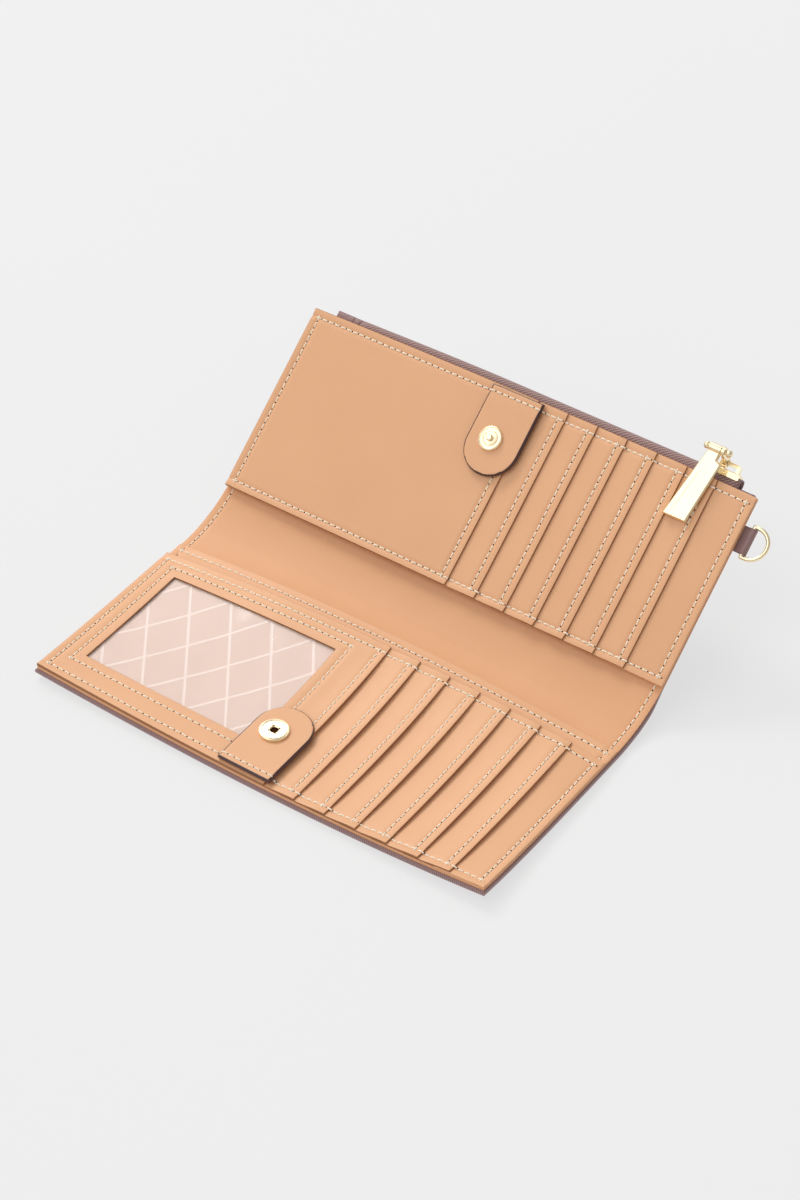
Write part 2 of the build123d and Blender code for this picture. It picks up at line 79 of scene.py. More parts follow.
NEAR_BEND = 6.5 * MM       # leather before the near fold that takes its bend
FAR_BEND = 10.0 * MM       # leather past the far fold that takes its bend
Array = np.ndarray
Height = Callable[[Array, Array], Array]
Pair = tuple[float, float]


# ---------------------------------------------------------------- working frames

def smooth(t: Array) -> Array:
    """Eases t from 0 to 1 with level ends."""
    t = np.clip(t, 0.0, 1.0)
    return t * t * (3.0 - 2.0 * t)


@dataclass(frozen=True)
class Bed:
    """A flat working frame on one half of the wallet.

    Args:
        origin: Row position of x = 0, v = 0, h = 0.
        lean: Angle of the half above the horizontal, in radians.
    """

    origin: tuple[float, float, float]
    lean: float = 0.0

    def axes(self) -> Array:
        """Rows are the row-frame directions of x, v and h."""
        c, s = math.cos(self.lean), math.sin(self.lean)
        return np.array([[1.0, 0.0, 0.0], [0.0, c, s], [0.0, -s, c]])

    def place(self, points: Array) -> Array:
        """Turns (x, v, h) rows into row-frame positions."""
        return np.asarray(self.origin) + np.asarray(points) @ self.axes()

    def local(self, node: str) -> Array:
        """(x, v, h) of each point of a CAD node."""
        co = np.array([v.co for v in frame["nodes"][node].data.vertices], float)
        return (co - np.asarray(self.origin)) @ self.axes().T

    def extent(self, node: str) -> tuple[Array, Array]:
        """Lowest and highest (x, v, h) of a CAD node."""
        local = self.local(node)
        return local.min(0), local.max(0)

    def spans(self, node: str) -> tuple[Pair, ...]:
        """The stretches of x, v and h that a CAD node covers."""
        return tuple(zip(*self.extent(node)))

    def up(self, points: Array) -> Array:
        """The direction of h at each point."""
        return np.repeat(self.axes()[2:3], len(points), axis=0)


@dataclass(frozen=True)
class FoldBed:
    """A working frame that runs from the near edge over the far fold, in one soft curve there.

    Args:
        near: The flat half's frame.
        far: The leaning half's frame.
        fold_v: v of the far fold.
        fold_h: Height of the fold axis.
        start_v: v of the frame's own v = 0.
        start_h: Height of the frame's own h = 0.
        reach: Length of leather each side of the fold that takes the bend.
    """

    near: Bed
    far: Bed
    fold_v: float
    fold_h: float
    start_v: float = 0.0
    start_h: float = 0.0
    reach: float = 19.0 * MM

    def _curve(self, v: Array) -> tuple[Array, Array]:
        """Place of the fold's middle line in the y-z plane, and its direction.

        Args:
            v: Places along v.

        Returns:
            The places and the directions.
        """
        away = v + self.start_v - self.fold_v
        c, s = math.cos(self.far.lean), math.sin(self.far.lean)
        t = np.clip((away + self.reach) / (2 * self.reach), 0.0, 1.0)[:, None]
        first, last = np.array([[-1.0, 0.0]]), np.array([[c, s]])
        place = self.reach * ((1 - t) ** 2 * first + t**2 * last)
        slope = 2 * self.reach * (t * last - (1 - t) * first)
        slope /= np.linalg.norm(slope, axis=1, keepdims=True)
        place += np.minimum(away + self.reach, 0.0)[:, None] * -first
        place += np.maximum(away - self.reach, 0.0)[:, None] * last
        return place, slope

    def place(self, points: Array) -> Array:
        """Turns (x, v, h) rows into row-frame positions.

        Args:
            points: Rows of (x, v, h).

        Returns:
            Row-frame positions.
        """
        points = np.asarray(points, float)
        line, slope = self._curve(points[:, 1])
        normal = np.column_stack([-slope[:, 1], slope[:, 0]])
        rise = points[:, 2] + self.start_h - self.fold_h
        line = line + rise[:, None] * normal
        return np.asarray(self.far.origin) + np.column_stack([points[:, 0], line])

    def up(self, points: Array) -> Array:
        """The direction of h at each point."""
        slope = self._curve(np.asarray(points, float)[:, 1])[1]
        return np.column_stack([np.zeros(len(slope)), -slope[:, 1], slope[:, 0]])


@dataclass(frozen=True)
class Bow:
    """How a soft layer departs from flat.

    Args:
        length: Length of the leather along the folds.
        edge: v of the sewn outer edge.
        inward: +1 where v grows away from that edge, -1 where it shrinks.
        reach: Distance from the outer edge to the free edge.
        arch: Lift of the middle of the free edge.
        curl: Lift of the ends of the outer edge.
        bulge: How far the middle of the outer edge stands out.
        uneven: How much more the right end curls than the left, as a share.
        curl_fade: Distance from the outer edge over which the curl dies away.
        bulge_fade: Distance over which the bulge dies away.
    """

    length: float
    edge: float
    inward: int
    reach: float
    arch: float = 0.0
    curl: float = 0.0
    bulge: float = 0.0
    uneven: float = 0.35
    curl_fade: float = 25.0 * MM
    bulge_fade: float = 8.0 * MM

    def bend(self, points: Array) -> Array:
        """Moves (x, v, h) rows from flat to their soft place.

        Args:
            points: Rows of (x, v, h).

        Returns:
            The bowed rows.
        """
        points = np.array(points, float)
        side = 2 * points[:, 0] / self.length - 1.0
        ends = np.clip(side**2, 0.0, 1.0)
        depth = np.maximum(self.inward * (points[:, 1] - self.edge), 0.0)
        lift = self.arch * (1 - ends) * np.clip(depth / self.reach, 0.0, 1.2) ** 3
        lift += self.curl * ends * (1 + self.uneven * side) * np.exp(-depth / self.curl_fade)
        points[:, 1] -= self.inward * self.bulge * (1 - ends) * np.exp(-depth / self.bulge_fade)
        points[:, 2] += lift
        return points


@dataclass(frozen=True)
class Layout:
    """Sizes and working frames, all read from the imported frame."""

    length: float
    near: Bed
    far: Bed
    near_fold: float
    far_fold: float
    fold_h: float

    @staticmethod
    def read() -> "Layout":
        """Reads the folds from the joints and the leather's length from its lining.

        Returns:
            The layout.
        """
        joints = {j["name"]: j for j in frame["joints"]}
        low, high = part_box("near_lining")
        near_pos, far_pos = joints["near_fold"]["pos_m"], joints["far_fold"]["pos_m"]
        out = joints["ring_swing"]["axis"]
        near = Bed((low.x, low.y, 0.0))
        far = Bed((low.x, far_pos[1], far_pos[2]), math.atan2(out[2], out[1]))
        return Layout(high.x - low.x, near, far, near_pos[1] - low.y, far_pos[1] - low.y, far_pos[2])

    def folding(self) -> FoldBed:
        """The frame for leather that crosses the far fold."""
        return FoldBed(self.near, self.far, self.far_fold, self.fold_h)

    def far_folding(self) -> FoldBed:
        """The same curve, measured from the far fold."""
        return FoldBed(self.near, self.far, self.far_fold, self.fold_h, self.far_fold, self.fold_h)

    def middle(self) -> float:
        """v of the middle of the spine, where leather pieces meet."""
        return (self.near_fold + self.far_fold) / 2

    def bend(self, fold: str) -> tuple[str, str, Array, Array]:
        """The two bodies of a fold, and where leather starts and stops bending between them.

        Args:
            fold: "near" or "far".

        Returns:
            Both bodies, then the start and end of the bend.
        """
        if fold == "near":
            bodies, span = ("near_half", "spine"), (self.near_fold - NEAR_BEND, self.middle())
        else:
            bodies, span = ("spine", "far_half"), (self.middle(), self.far_fold + FAR_BEND)
        ends = self.folding().place([[self.length / 2, v, self.fold_h] for v in span])
        return (*bodies, *ends)

    def near_bow(self, **changes: float) -> Bow:
        """The bow of a near layer that is sewn at the near edge."""
        return Bow(length=self.length, edge=0.0, inward=1, **changes)

    def far_bow(self, edge: float, **changes: float) -> Bow:
        """The bow of a far layer that is sewn at the far edge."""
        return Bow(length=self.length, edge=edge, inward=-1, **changes)


# ---------------------------------------------------------------- finishes

class TreeKit:
    """Short calls shared by material trees and Geometry Nodes trees."""

    def __init__(self, tree: bpy.types.NodeTree) -> None:
        """Keeps the tree."""
        self.tree = tree

    def join(self, source: bpy.types.NodeSocket, target: bpy.types.NodeSocket) -> None:
        """Links two sockets."""
        self.tree.links.new(source, target)

    def fed(self, kind: str, *values: object, **settings: object) -> bpy.types.NodeSocket:
        """Adds a node and feeds its inputs in order.

        Args:
            kind: The node's type.
            values: Sockets or numbers for its first inputs.
            settings: Its properties.

        Returns:
            Its first output.
        """
        node = self.tree.nodes.new(kind)
        for key, value in settings.items():
            setattr(node, key, value)
        for socket, value in zip(node.inputs, values):
            if isinstance(value, bpy.types.NodeSocket):
                self.join(value, socket)
            else:
                socket.default_value = value
        return node.outputs[0]

    def math(self, kind: str, first: object, second: object) -> bpy.types.NodeSocket:
        """A Math node on sockets or numbers."""
        return self.fed("ShaderNodeMath", first, second, operation=kind)


class NodeKit(TreeKit):
    """Short calls for building one material's nodes."""

    def __init__(self, name: str) -> None:
        """Starts a material of this name with a Principled shader."""
        self.material = bpy.data.materials.new(name)
        self.material.use_nodes = True
        super().__init__(self.material.node_tree)
        self.shader = self.tree.nodes["Principled BSDF"]

    def add(self, kind: str, **values: object) -> bpy.types.Node:
        """Adds a node and sets its inputs, with _ for a space."""
        node = self.tree.nodes.new(kind)
        for key, value in values.items():
            node.inputs[key.replace("_", " ")].default_value = value
        return node

    def coordinates(self, surface: bool = False, turn: float = 0.0) -> bpy.types.NodeSocket:
        """Object coordinates, or the piece's own surface map, turned about h."""
        source = self.tree.nodes.new("ShaderNodeTexCoord").outputs["UV" if surface else "Object"]
        mapping = self.add("ShaderNodeMapping", Rotation=(0.0, 0.0, turn))
        self.join(source, mapping.inputs["Vector"])
        return mapping.outputs["Vector"]

    def noise(self, where: bpy.types.NodeSocket, scale: float, detail: float = 2.0) -> bpy.types.NodeSocket:
        """Noise at a scale in cycles per metre."""
        node = self.add("ShaderNodeTexNoise", Scale=scale, Detail=detail, Roughness=0.55)
        self.join(where, node.inputs["Vector"])
        return node.outputs[0]

    def wave(self, where: bpy.types.NodeSocket, period: float, distort: float = 0.0) -> bpy.types.NodeSocket:
        """Straight bands with a period in metres."""
        node = self.add("ShaderNodeTexWave", Scale=math.pi / 10 / period, Distortion=distort)
        self.join(where, node.inputs["Vector"])
        return node.outputs["Fac"]

    def cells(self, where: bpy.types.NodeSocket, scale: float) -> bpy.types.NodeSocket:
        """Distance to the nearest of scattered cell centres."""
        node = self.add("ShaderNodeTexVoronoi", Scale=scale)
        self.join(where, node.inputs["Vector"])
        return node.outputs["Distance"]

    def blend(self, amount: object, low: Sequence[float], high: Sequence[float]) -> bpy.types.NodeSocket:
        """A colour between two, by a value from 0 to 1.

        Args:
            amount: The value.
            low: Colour at 0.
            high: Colour at 1.

        Returns:
            The colour.
        """
        ramp = self.tree.nodes.new("ShaderNodeValToRGB")
        ramp.color_ramp.elements[0].color = (*low, 1.0)
        ramp.color_ramp.elements[1].color = (*high, 1.0)
        self.join(amount, ramp.inputs["Fac"])
        return ramp.outputs["Color"]

    def spread(self, amount: bpy.types.NodeSocket, low: float, high: float) -> bpy.types.NodeSocket:
        """Moves a value from 0..1 to low..high."""
        node = self.add("ShaderNodeMapRange", To_Min=low, To_Max=high)
        self.join(amount, node.inputs["Value"])
        return node.outputs["Result"]

    def bump(self, height: bpy.types.NodeSocket, depth: float, strength: float = 1.0) -> None:
        """Raises the surface by a height from 0 to 1 times a depth in metres."""
        node = self.add("ShaderNodeBump", Strength=strength, Distance=depth)
        self.join(height, node.inputs["Height"])
        self.join(node.outputs["Normal"], self.shader.inputs["Normal"])

    def set(self, **values: object) -> None:
        """Sets sockets of the shader, with _ for a space."""
        for key, value in values.items():
            self.shader.inputs[key.replace("_", " ")].default_value = value

    def drive(self, socket: str, source: bpy.types.NodeSocket) -> None:
        """Links a pattern to a socket of the shader."""
        self.join(source, self.shader.inputs[socket])


@dataclass(frozen=True)
class Finish:
    """One finish of the wallet.

    Args:
        name: The material's name.
        colour: Main colour, linear.
        shade: Colour of its darker places.
    """

    name: str
    colour: tuple[float, float, float]
    shade: tuple[float, float, float]

    def make(self) -> bpy.types.Material:
        """Returns the material, built the first time it is asked for.

        Returns:
            The material.
        """
        found = bpy.data.materials.get(self.name)
        if found is None:
            kit = NodeKit(self.name)
            self.build(kit)
            found = kit.material
        return found

    def tint(self, kit: NodeKit, amount: bpy.types.NodeSocket) -> None:
        """Colours the surface between shade and colour by a pattern."""
        kit.drive("Base Color", kit.blend(amount, self.shade, self.colour))


@dataclass(frozen=True)
class PlainFinish(Finish):
    """A finish with mottled colour, and an uneven surface where it has a depth.

    Args:
        mottle: Scale and detail of the colour's noise.
        settings: Values of the shader's sockets.
        grain: Scale and detail of the surface's noise.
        depth: Depth of the surface's noise.
        strength: How strongly it shows.
    """

    mottle: Pair
    settings: dict[str, object]
    grain: Pair = (0.0, 0.0)
    depth: float = 0.0
    strength: float = 0.5

    def build(self, kit: NodeKit) -> None:
        """Builds the material's nodes.

        Args:
            kit: Calls for the material's nodes.
        """
        where = kit.coordinates()
        self.tint(kit, kit.noise(where, *self.mottle))
        if self.depth > 0.0:
            kit.bump(kit.noise(where, *self.grain), self.depth, self.strength)
        kit.set(**self.settings)


@dataclass(frozen=True)
class SmoothLeather(Finish):
    """Smooth pressed leather with a faint pebble and soft mottling."""

    roughness: float = 0.46
    mottle: float = 38.0
    polish: float = 420.0
    pebble: Pair = (1500.0, 2600.0)
    depth: float = 0.035 * MM

    def build(self, kit: NodeKit) -> None:
        """Builds the material's nodes.

        Args:
            kit: Calls for the material's nodes.
        """
        where = kit.coordinates()
        self.tint(kit, kit.noise(where, self.mottle, 3.0))
        shine = kit.noise(where, self.polish, 3.0)
        kit.drive("Roughness", kit.spread(shine, self.roughness - 0.07, self.roughness + 0.09))
        cells, fine = self.pebble
        kit.bump(kit.math("ADD", kit.cells(where, cells), kit.noise(where, fine, 3.0)), self.depth, 0.35)
        kit.set(Specular_IOR_Level=0.32, Sheen_Weight=0.03, Sheen_Roughness=0.5)


@dataclass(frozen=True)
class CrosshatchLeather(Finish):
    """Cover leather pressed with fine crossing ridges."""

    pitch: float = 0.62 * MM
    slant: float = 38.0
    wear: float = 55.0
    grain: float = 1900.0
    depth: float = 0.09 * MM

    def build(self, kit: NodeKit) -> None:
        """Builds the material's nodes.

        Args:
            kit: Calls for the material's nodes.
        """
        turns = (math.radians(self.slant), math.radians(-self.slant))
        ridges = [kit.wave(kit.coordinates(True, turn), self.pitch, 1.2) for turn in turns]
        hatch = kit.math("MAXIMUM", *ridges)
        where = kit.coordinates()
        self.tint(kit, kit.math("MULTIPLY", hatch, kit.spread(kit.noise(where, self.wear, 4.0), 0.75, 1.15)))
        kit.drive("Roughness", kit.spread(hatch, 0.58, 0.4))
        kit.bump(kit.math("ADD", hatch, kit.noise(where, self.grain)), self.depth, 0.8)
        kit.set(Specular_IOR_Level=0.45)


@dataclass(frozen=True)
class Thread(Finish):
    """Twisted sewing thread."""

    twist: float = 0.35 * MM

    def build(self, kit: NodeKit) -> None:
        """Builds the material's nodes.

        Args:
            kit: Calls for the material's nodes.
        """
        twist = kit.wave(kit.coordinates(turn=math.radians(30)), self.twist, 2.0)
        self.tint(kit, twist)
        kit.bump(twist, 0.05 * MM, 0.7)
        kit.set(Roughness=0.62, Sheen_Weight=0.3)


@dataclass(frozen=True)
class SatinLining(Finish):
    """Satin with a paler printed lattice of diamonds."""

    lattice: float = 15.0 * MM
    slant: float = 35.0
    line: float = 0.01
    weave: float = 0.28 * MM

    def build(self, kit: NodeKit) -> None:
        """Builds the material's nodes.

        Args:
            kit: Calls for the material's nodes.
        """
        lines = []
        for turn in (math.radians(self.slant), math.radians(-self.slant)):
            band = kit.wave(kit.coordinates(True, turn), self.lattice)
            lines.append(kit.math("GREATER_THAN", band, 1.0 - self.line))
        printed = kit.math("MAXIMUM", *lines)
        surface = kit.coordinates(True)
        cloth = kit.spread(kit.noise(surface, 320.0, 3.0), 0.0, 0.4)
        self.tint(kit, kit.math("ADD", cloth, printed))
        kit.drive("Roughness", kit.spread(printed, 0.42, 0.3))
        kit.bump(kit.wave(surface, self.weave, 0.6), 0.02 * MM, 0.5)
        kit.set(Sheen_Weight=0.08, Sheen_Roughness=0.35, Anisotropic=0.3, Specular_IOR_Level=0.3)


@dataclass(frozen=True)
class GoldPlate(Finish):
    """Bright pale gold plating with hairline polishing marks."""

    roughness: float = 0.27

    def build(self, kit: NodeKit) -> None:
        """Builds the material's nodes.

        Args:
            kit: Calls for the material's nodes.
        """
        self.tint(kit, kit.noise(kit.coordinates(), 150.0, 3.0))
        marks = kit.noise(kit.coordinates(turn=0.6), 2400.0, 4.0)
        kit.drive("Roughness", kit.spread(marks, self.roughness - 0.05, self.roughness + 0.09))
        kit.bump(marks, 0.006 * MM, 0.5)
        kit.set(Metallic=1.0)


@dataclass(frozen=True)
class WovenTape(Finish):
    """Close woven zip tape with a herringbone rib."""

    slant: float = 50.0
    ribs: Pair = (1.05 * MM, 0.7 * MM)

    def build(self, kit: NodeKit) -> None:
        """Builds the material's nodes.

        Args:
            kit: Calls for the material's nodes.
        """
        turns = (math.radians(self.slant), math.radians(-self.slant))
        first, second = (kit.wave(kit.coordinates(True, turn), rib, 0.6)
                         for turn, rib in zip(turns, self.ribs))
        rib = kit.math("MULTIPLY", first, kit.spread(second, 0.35, 1.0))
        self.tint(kit, rib)
        kit.bump(rib, 0.06 * MM, 0.8)
        kit.set(Roughness=0.72, Sheen_Weight=0.35)



TAN = SmoothLeather("tan_leather", (0.84, 0.462, 0.25), (0.78, 0.415, 0.217))
GUTTER = SmoothLeather("gutter_leather", (0.81, 0.43, 0.222), (0.75, 0.38, 0.19), 0.5)
# Darker cut edge, darkened further as painted shadow: on the pocket leather it draws the thin dark line where
# each open edge shades the leather below.
CUT_EDGE_SHADOW = SmoothLeather("cut_edge", (0.40, 0.17, 0.065), (0.31, 0.125, 0.048), 0.6)
MAUVE = CrosshatchLeather("mauve_cover_leather", (0.40, 0.245, 0.235), (0.165, 0.09, 0.09))
PAINT = PlainFinish("edge_paint", (0.085, 0.032, 0.034), (0.05, 0.018, 0.02), (260.0, 3.0),
                    {"Roughness": 0.36, "Coat_Weight": 0.25, "Coat_Roughness": 0.3},
                    (900.0, 3.0), 0.05 * MM)
THREAD = Thread("cream_thread", (1.0, 0.93, 0.78), (1.0, 0.86, 0.66))
# Near-black dots and discs of painted shade, standing for the shadowed insides of the needle holes and of the
# snap socket's well.
HOLE_SHADE = PlainFinish("needle_hole", (0.075, 0.024, 0.010), (0.04, 0.012, 0.005), (500.0, 2.0),
                   {"Roughness": 0.9, "Specular_IOR_Level": 0.0})
SATIN = SatinLining("printed_satin", (0.95, 0.77, 0.69), (0.77, 0.54, 0.43))
FILM = PlainFinish("ripple_film", (0.99, 0.97, 0.95), (0.95, 0.92, 0.9), (60.0, 2.0),
                   {"Roughness": 0.07, "Alpha": 0.1, "Specular_IOR_Level": 0.6}, (45.0, 1.0), 0.25 * MM)
GOLD = GoldPlate("gold_plate", (1.0, 0.87, 0.62), (0.98, 0.81, 0.51))
TAPE = WovenTape("zip_tape_weave", (0.56, 0.37, 0.335), (0.20, 0.105, 0.098))
COIL = PlainFinish("zip_coil_nylon", (0.26, 0.14, 0.145), (0.17, 0.085, 0.09), (300.0, 2.0),
                   {"Roughness": 0.34}, (1500.0, 2.0), 0.02 * MM, 0.4)
BOARD = PlainFinish("pressed_board", (0.62, 0.58, 0.5), (0.5, 0.46, 0.4), (700.0, 5.0), {"Roughness": 0.9})


# ---------------------------------------------------------------- meshes

@dataclass(frozen=True)
class Outline:
    """A rectangle on a bed, with an optional rectangular hole."""

    x: Pair
    v: Pair
    hole_x: Pair = (1.0, -1.0)
    hole_v: Pair = (1.0, -1.0)

    def has_hole(self) -> bool:
        """Whether there is a hole."""
        return self.hole_x[1] > self.hole_x[0]

    def inset(self, x: Array, v: Array) -> Array:
        """Distance of each point from the nearest edge.

        Args:
            x: Places along x.
            v: Places along v.

        Returns:
            The distances, 0 outside.
        """
        d = np.minimum.reduce([x - self.x[0], self.x[1] - x, v - self.v[0], self.v[1] - v])
        if self.has_hole():
            out = np.maximum.reduce([self.hole_x[0] - x, x - self.hole_x[1],
                                     self.hole_v[0] - v, v - self.hole_v[1]])
            d = np.minimum(d, np.maximum(out, 0.0))
        return np.maximum(d, 0.0)


def graded(low: float, high: float, step: float, marks: dict[float, float]) -> Array:
    """Grid lines from low to high, closer together beside each mark.

    Args:
        low: First line.
        high: Last line.
        step: Usual spacing.
        marks: How far the closer lines reach on both sides of each marked place.

    Returns:
        The sorted lines.
    """
    lines = list(np.linspace(low, high, max(2, math.ceil((high - low) / step) + 1)))
    for mark, reach in marks.items():
        lines += [mark + side * k * reach for side in (-1, 1) for k in (0.1, 0.35, 0.65, 1.0)]
    kept = sorted({low, high, *(m for m in marks if low < m < high)})
    for line in sorted(lines):
        if low < line < high and min(abs(line - k) for k in kept) > 0.025 * MM:
            kept.append(line)
    return np.array(sorted(kept))


class SheetMesh:
    """Builds a closed soft sheet from a grid of (x, v) places."""

    def __init__(self, name: str, finishes: Sequence[Finish], soft: float = 0.3 * MM) -> None:
        """Names the sheet.

        Args:
            name: The object's name.
            finishes: The face finish, then the edge finish if it differs.
            soft: Radius of the rounded edges.
        """
        self.name, self.finishes, self.soft = name, finishes, soft

    def build(self, x: Array, v: Array, top: Array, thick: Array, inset: Array,
              place: Callable[[Array], Array], kept: Array | None = None) -> bpy.types.Object:
        """Builds the object.

        Args:
            x: Grid of x, one row for each line across.
            v: Grid of v.
            top: Height of the upper face.
            thick: Thickness at each place.
            inset: Distance of each place from the sheet's edge.
            place: Turns (x, v, h) rows into row-frame positions.
            kept: Which grid cells are leather; all of them where it is None.

        Returns:
            The new object.
        """
        nx, nv = x.shape
        kept = np.ones((nx - 1, nv - 1), bool) if kept is None else kept
        radius = np.minimum(self.soft, thick * 0.49)
        d = np.clip(inset, 0.0, radius)
        drop = radius - np.sqrt(np.maximum(radius**2 - (radius - d) ** 2, 0.0))
        flat = [g.ravel() for g in (x, v)]
        upper = np.stack([*flat, (top - drop).ravel()], axis=1)
        lower = np.stack([*flat, (top - thick + drop).ravel()], axis=1)
        points = np.vstack([upper, lower])
        faces, edge_face = self._faces(nx, nv, kept)
        mesh = bpy.data.meshes.new(self.name)
        mesh.from_pydata(place(points).tolist(), [], faces)
        uv = mesh.uv_layers.new(name="surface")
        loops = np.array([loop.vertex_index for loop in mesh.loops])
        uv.data.foreach_set("uv", points[loops][:, :2].astype(np.float32).ravel())
        for finish in self.finishes:
            mesh.materials.append(finish.make())
        if len(self.finishes) > 1:
            # The rim and walls take the second finish: real edge paint on the snap tabs, and a darker cut
            # edge with painted shadow on the pocket leather.
            rim = (inset < 0.8 * self.soft).ravel()
            rim = np.concatenate([rim, rim])
            marks = [int(edge or all(rim[i] for i in face)) for face, edge in zip(faces, edge_face)]
            mesh.polygons.foreach_set("material_index", marks)
        return closed_object(self.name, mesh, outward=False)

    def _faces(self, nx: int, nv: int, kept: Array) -> tuple[list, list]:
        """Faces of the top, the bottom and the walls, and which of them are walls.

        Args:
            nx: Grid lines along x.
            nv: Grid lines along v.
            kept: Cells to keep.

        Returns:
            The faces, and whether each is a wall.
        """
        index = np.arange(nx * nv).reshape(nx, nv)
        base = nx * nv
        faces: list[tuple[int, ...]] = []
        walls: list[tuple[int, ...]] = []
        pad = np.pad(kept, 1)
        sides = ((0, -1, 0, 1), (1, 0, 1, 2), (0, 1, 2, 3), (-1, 0, 3, 0))
        for i, j in zip(*np.nonzero(kept)):
            corners = (index[i, j], index[i + 1, j], index[i + 1, j + 1], index[i, j + 1])
            ring = tuple(int(k) for k in corners)
            faces += [ring, tuple(k + base for k in reversed(ring))]
            for di, dj, a, b in sides:
                if not pad[i + 1 + di, j + 1 + dj]:
                    walls.append((ring[b], ring[a], ring[a] + base, ring[b] + base))
        return faces + walls, [False] * len(faces) + [True] * len(walls)


def link_object(name: str, data: bpy.types.ID) -> bpy.types.Object:
    """Makes an object of a mesh, light or camera in the scene."""
    made = bpy.data.objects.new(name, data)
    bpy.context.scene.collection.objects.link(made)
    return made


def closed_object(name: str, mesh: bpy.types.Mesh, weld: bool = True, outward: bool = True,
                  flat_ends: bool = False) -> bpy.types.Object:
    """Cleans a closed mesh and makes an object of it.

    Args:
        name: The object's name.
        mesh: The mesh.
        weld: Whether doubled points are merged and loose ones dropped.
        outward: Whether the faces are turned outwards.
        flat_ends: Whether only faces with four corners are smooth.

    Returns:
        The new object.
    """
    work = bmesh.new()
    work.from_mesh(mesh)
    if weld:
        bmesh.ops.remove_doubles(work, verts=work.verts, dist=WELD)
        bmesh.ops.delete(work, geom=[v for v in work.verts if not v.link_faces], context="VERTS")
    if outward:
        bmesh.ops.recalc_face_normals(work, faces=work.faces)
    for face in work.faces:
        face.smooth = not flat_ends or len(face.verts) == 4
    work.to_mesh(mesh)
    work.free()
    return link_object(name, mesh)


def swept(name: str, profile: Array, xs: Array, shift: Callable[[Array], Array],
          place: Callable[[Array], Array], finish: Finish) -> bpy.types.Object:
    """A closed (v, h) outline carried along x, with flat ends.

    Args:
        name: The object's name.
        profile: Outline points in order, anticlockwise seen from +x.
        xs: Places along x.
        shift: Change of v for each x.
        place: Turns (x, v, h) rows into row-frame positions.
        finish: The finish.

    Returns:
        The new object.
    """
    count = len(profile)
    rows = [np.column_stack([np.full(count, x), profile[:, 0] + shift(x), profile[:, 1]]) for x in xs]
    points = np.vstack(rows)
    faces = []
    for i in range(len(xs) - 1):
        for k in range(count):
            n = (k + 1) % count
            faces.append((i * count + k, i * count + n, (i + 1) * count + n, (i + 1) * count + k))
    faces.append(tuple(reversed(range(count))))
    faces.append(tuple(range((len(xs) - 1) * count, len(xs) * count)))
    mesh = bpy.data.meshes.new(name)
    mesh.from_pydata(place(points).tolist(), [], faces)
    girth = np.concatenate([[0], np.cumsum(np.hypot(*np.diff(profile, axis=0).T))])
    uv = mesh.uv_layers.new(name="surface")
    data = [(points[l.vertex_index][0], girth[l.vertex_index % count]) for l in mesh.loops]
    uv.data.foreach_set("uv", np.array(data, np.float32).ravel())
    mesh.materials.append(finish.make())
    return closed_object(name, mesh, weld=False, flat_ends=True)


def thickened(path: Array, half: float) -> Array:
    """An outline round an open (v, h) path, half wide on each side."""
    step = np.gradient(path, axis=0)
    normal = np.column_stack([-step[:, 1], step[:, 0]])
    normal /= np.linalg.norm(normal, axis=1, keepdims=True)
    return np.vstack([path + half * normal, (path - half * normal)[::-1]])


# ---------------------------------------------------------------- repeated pieces

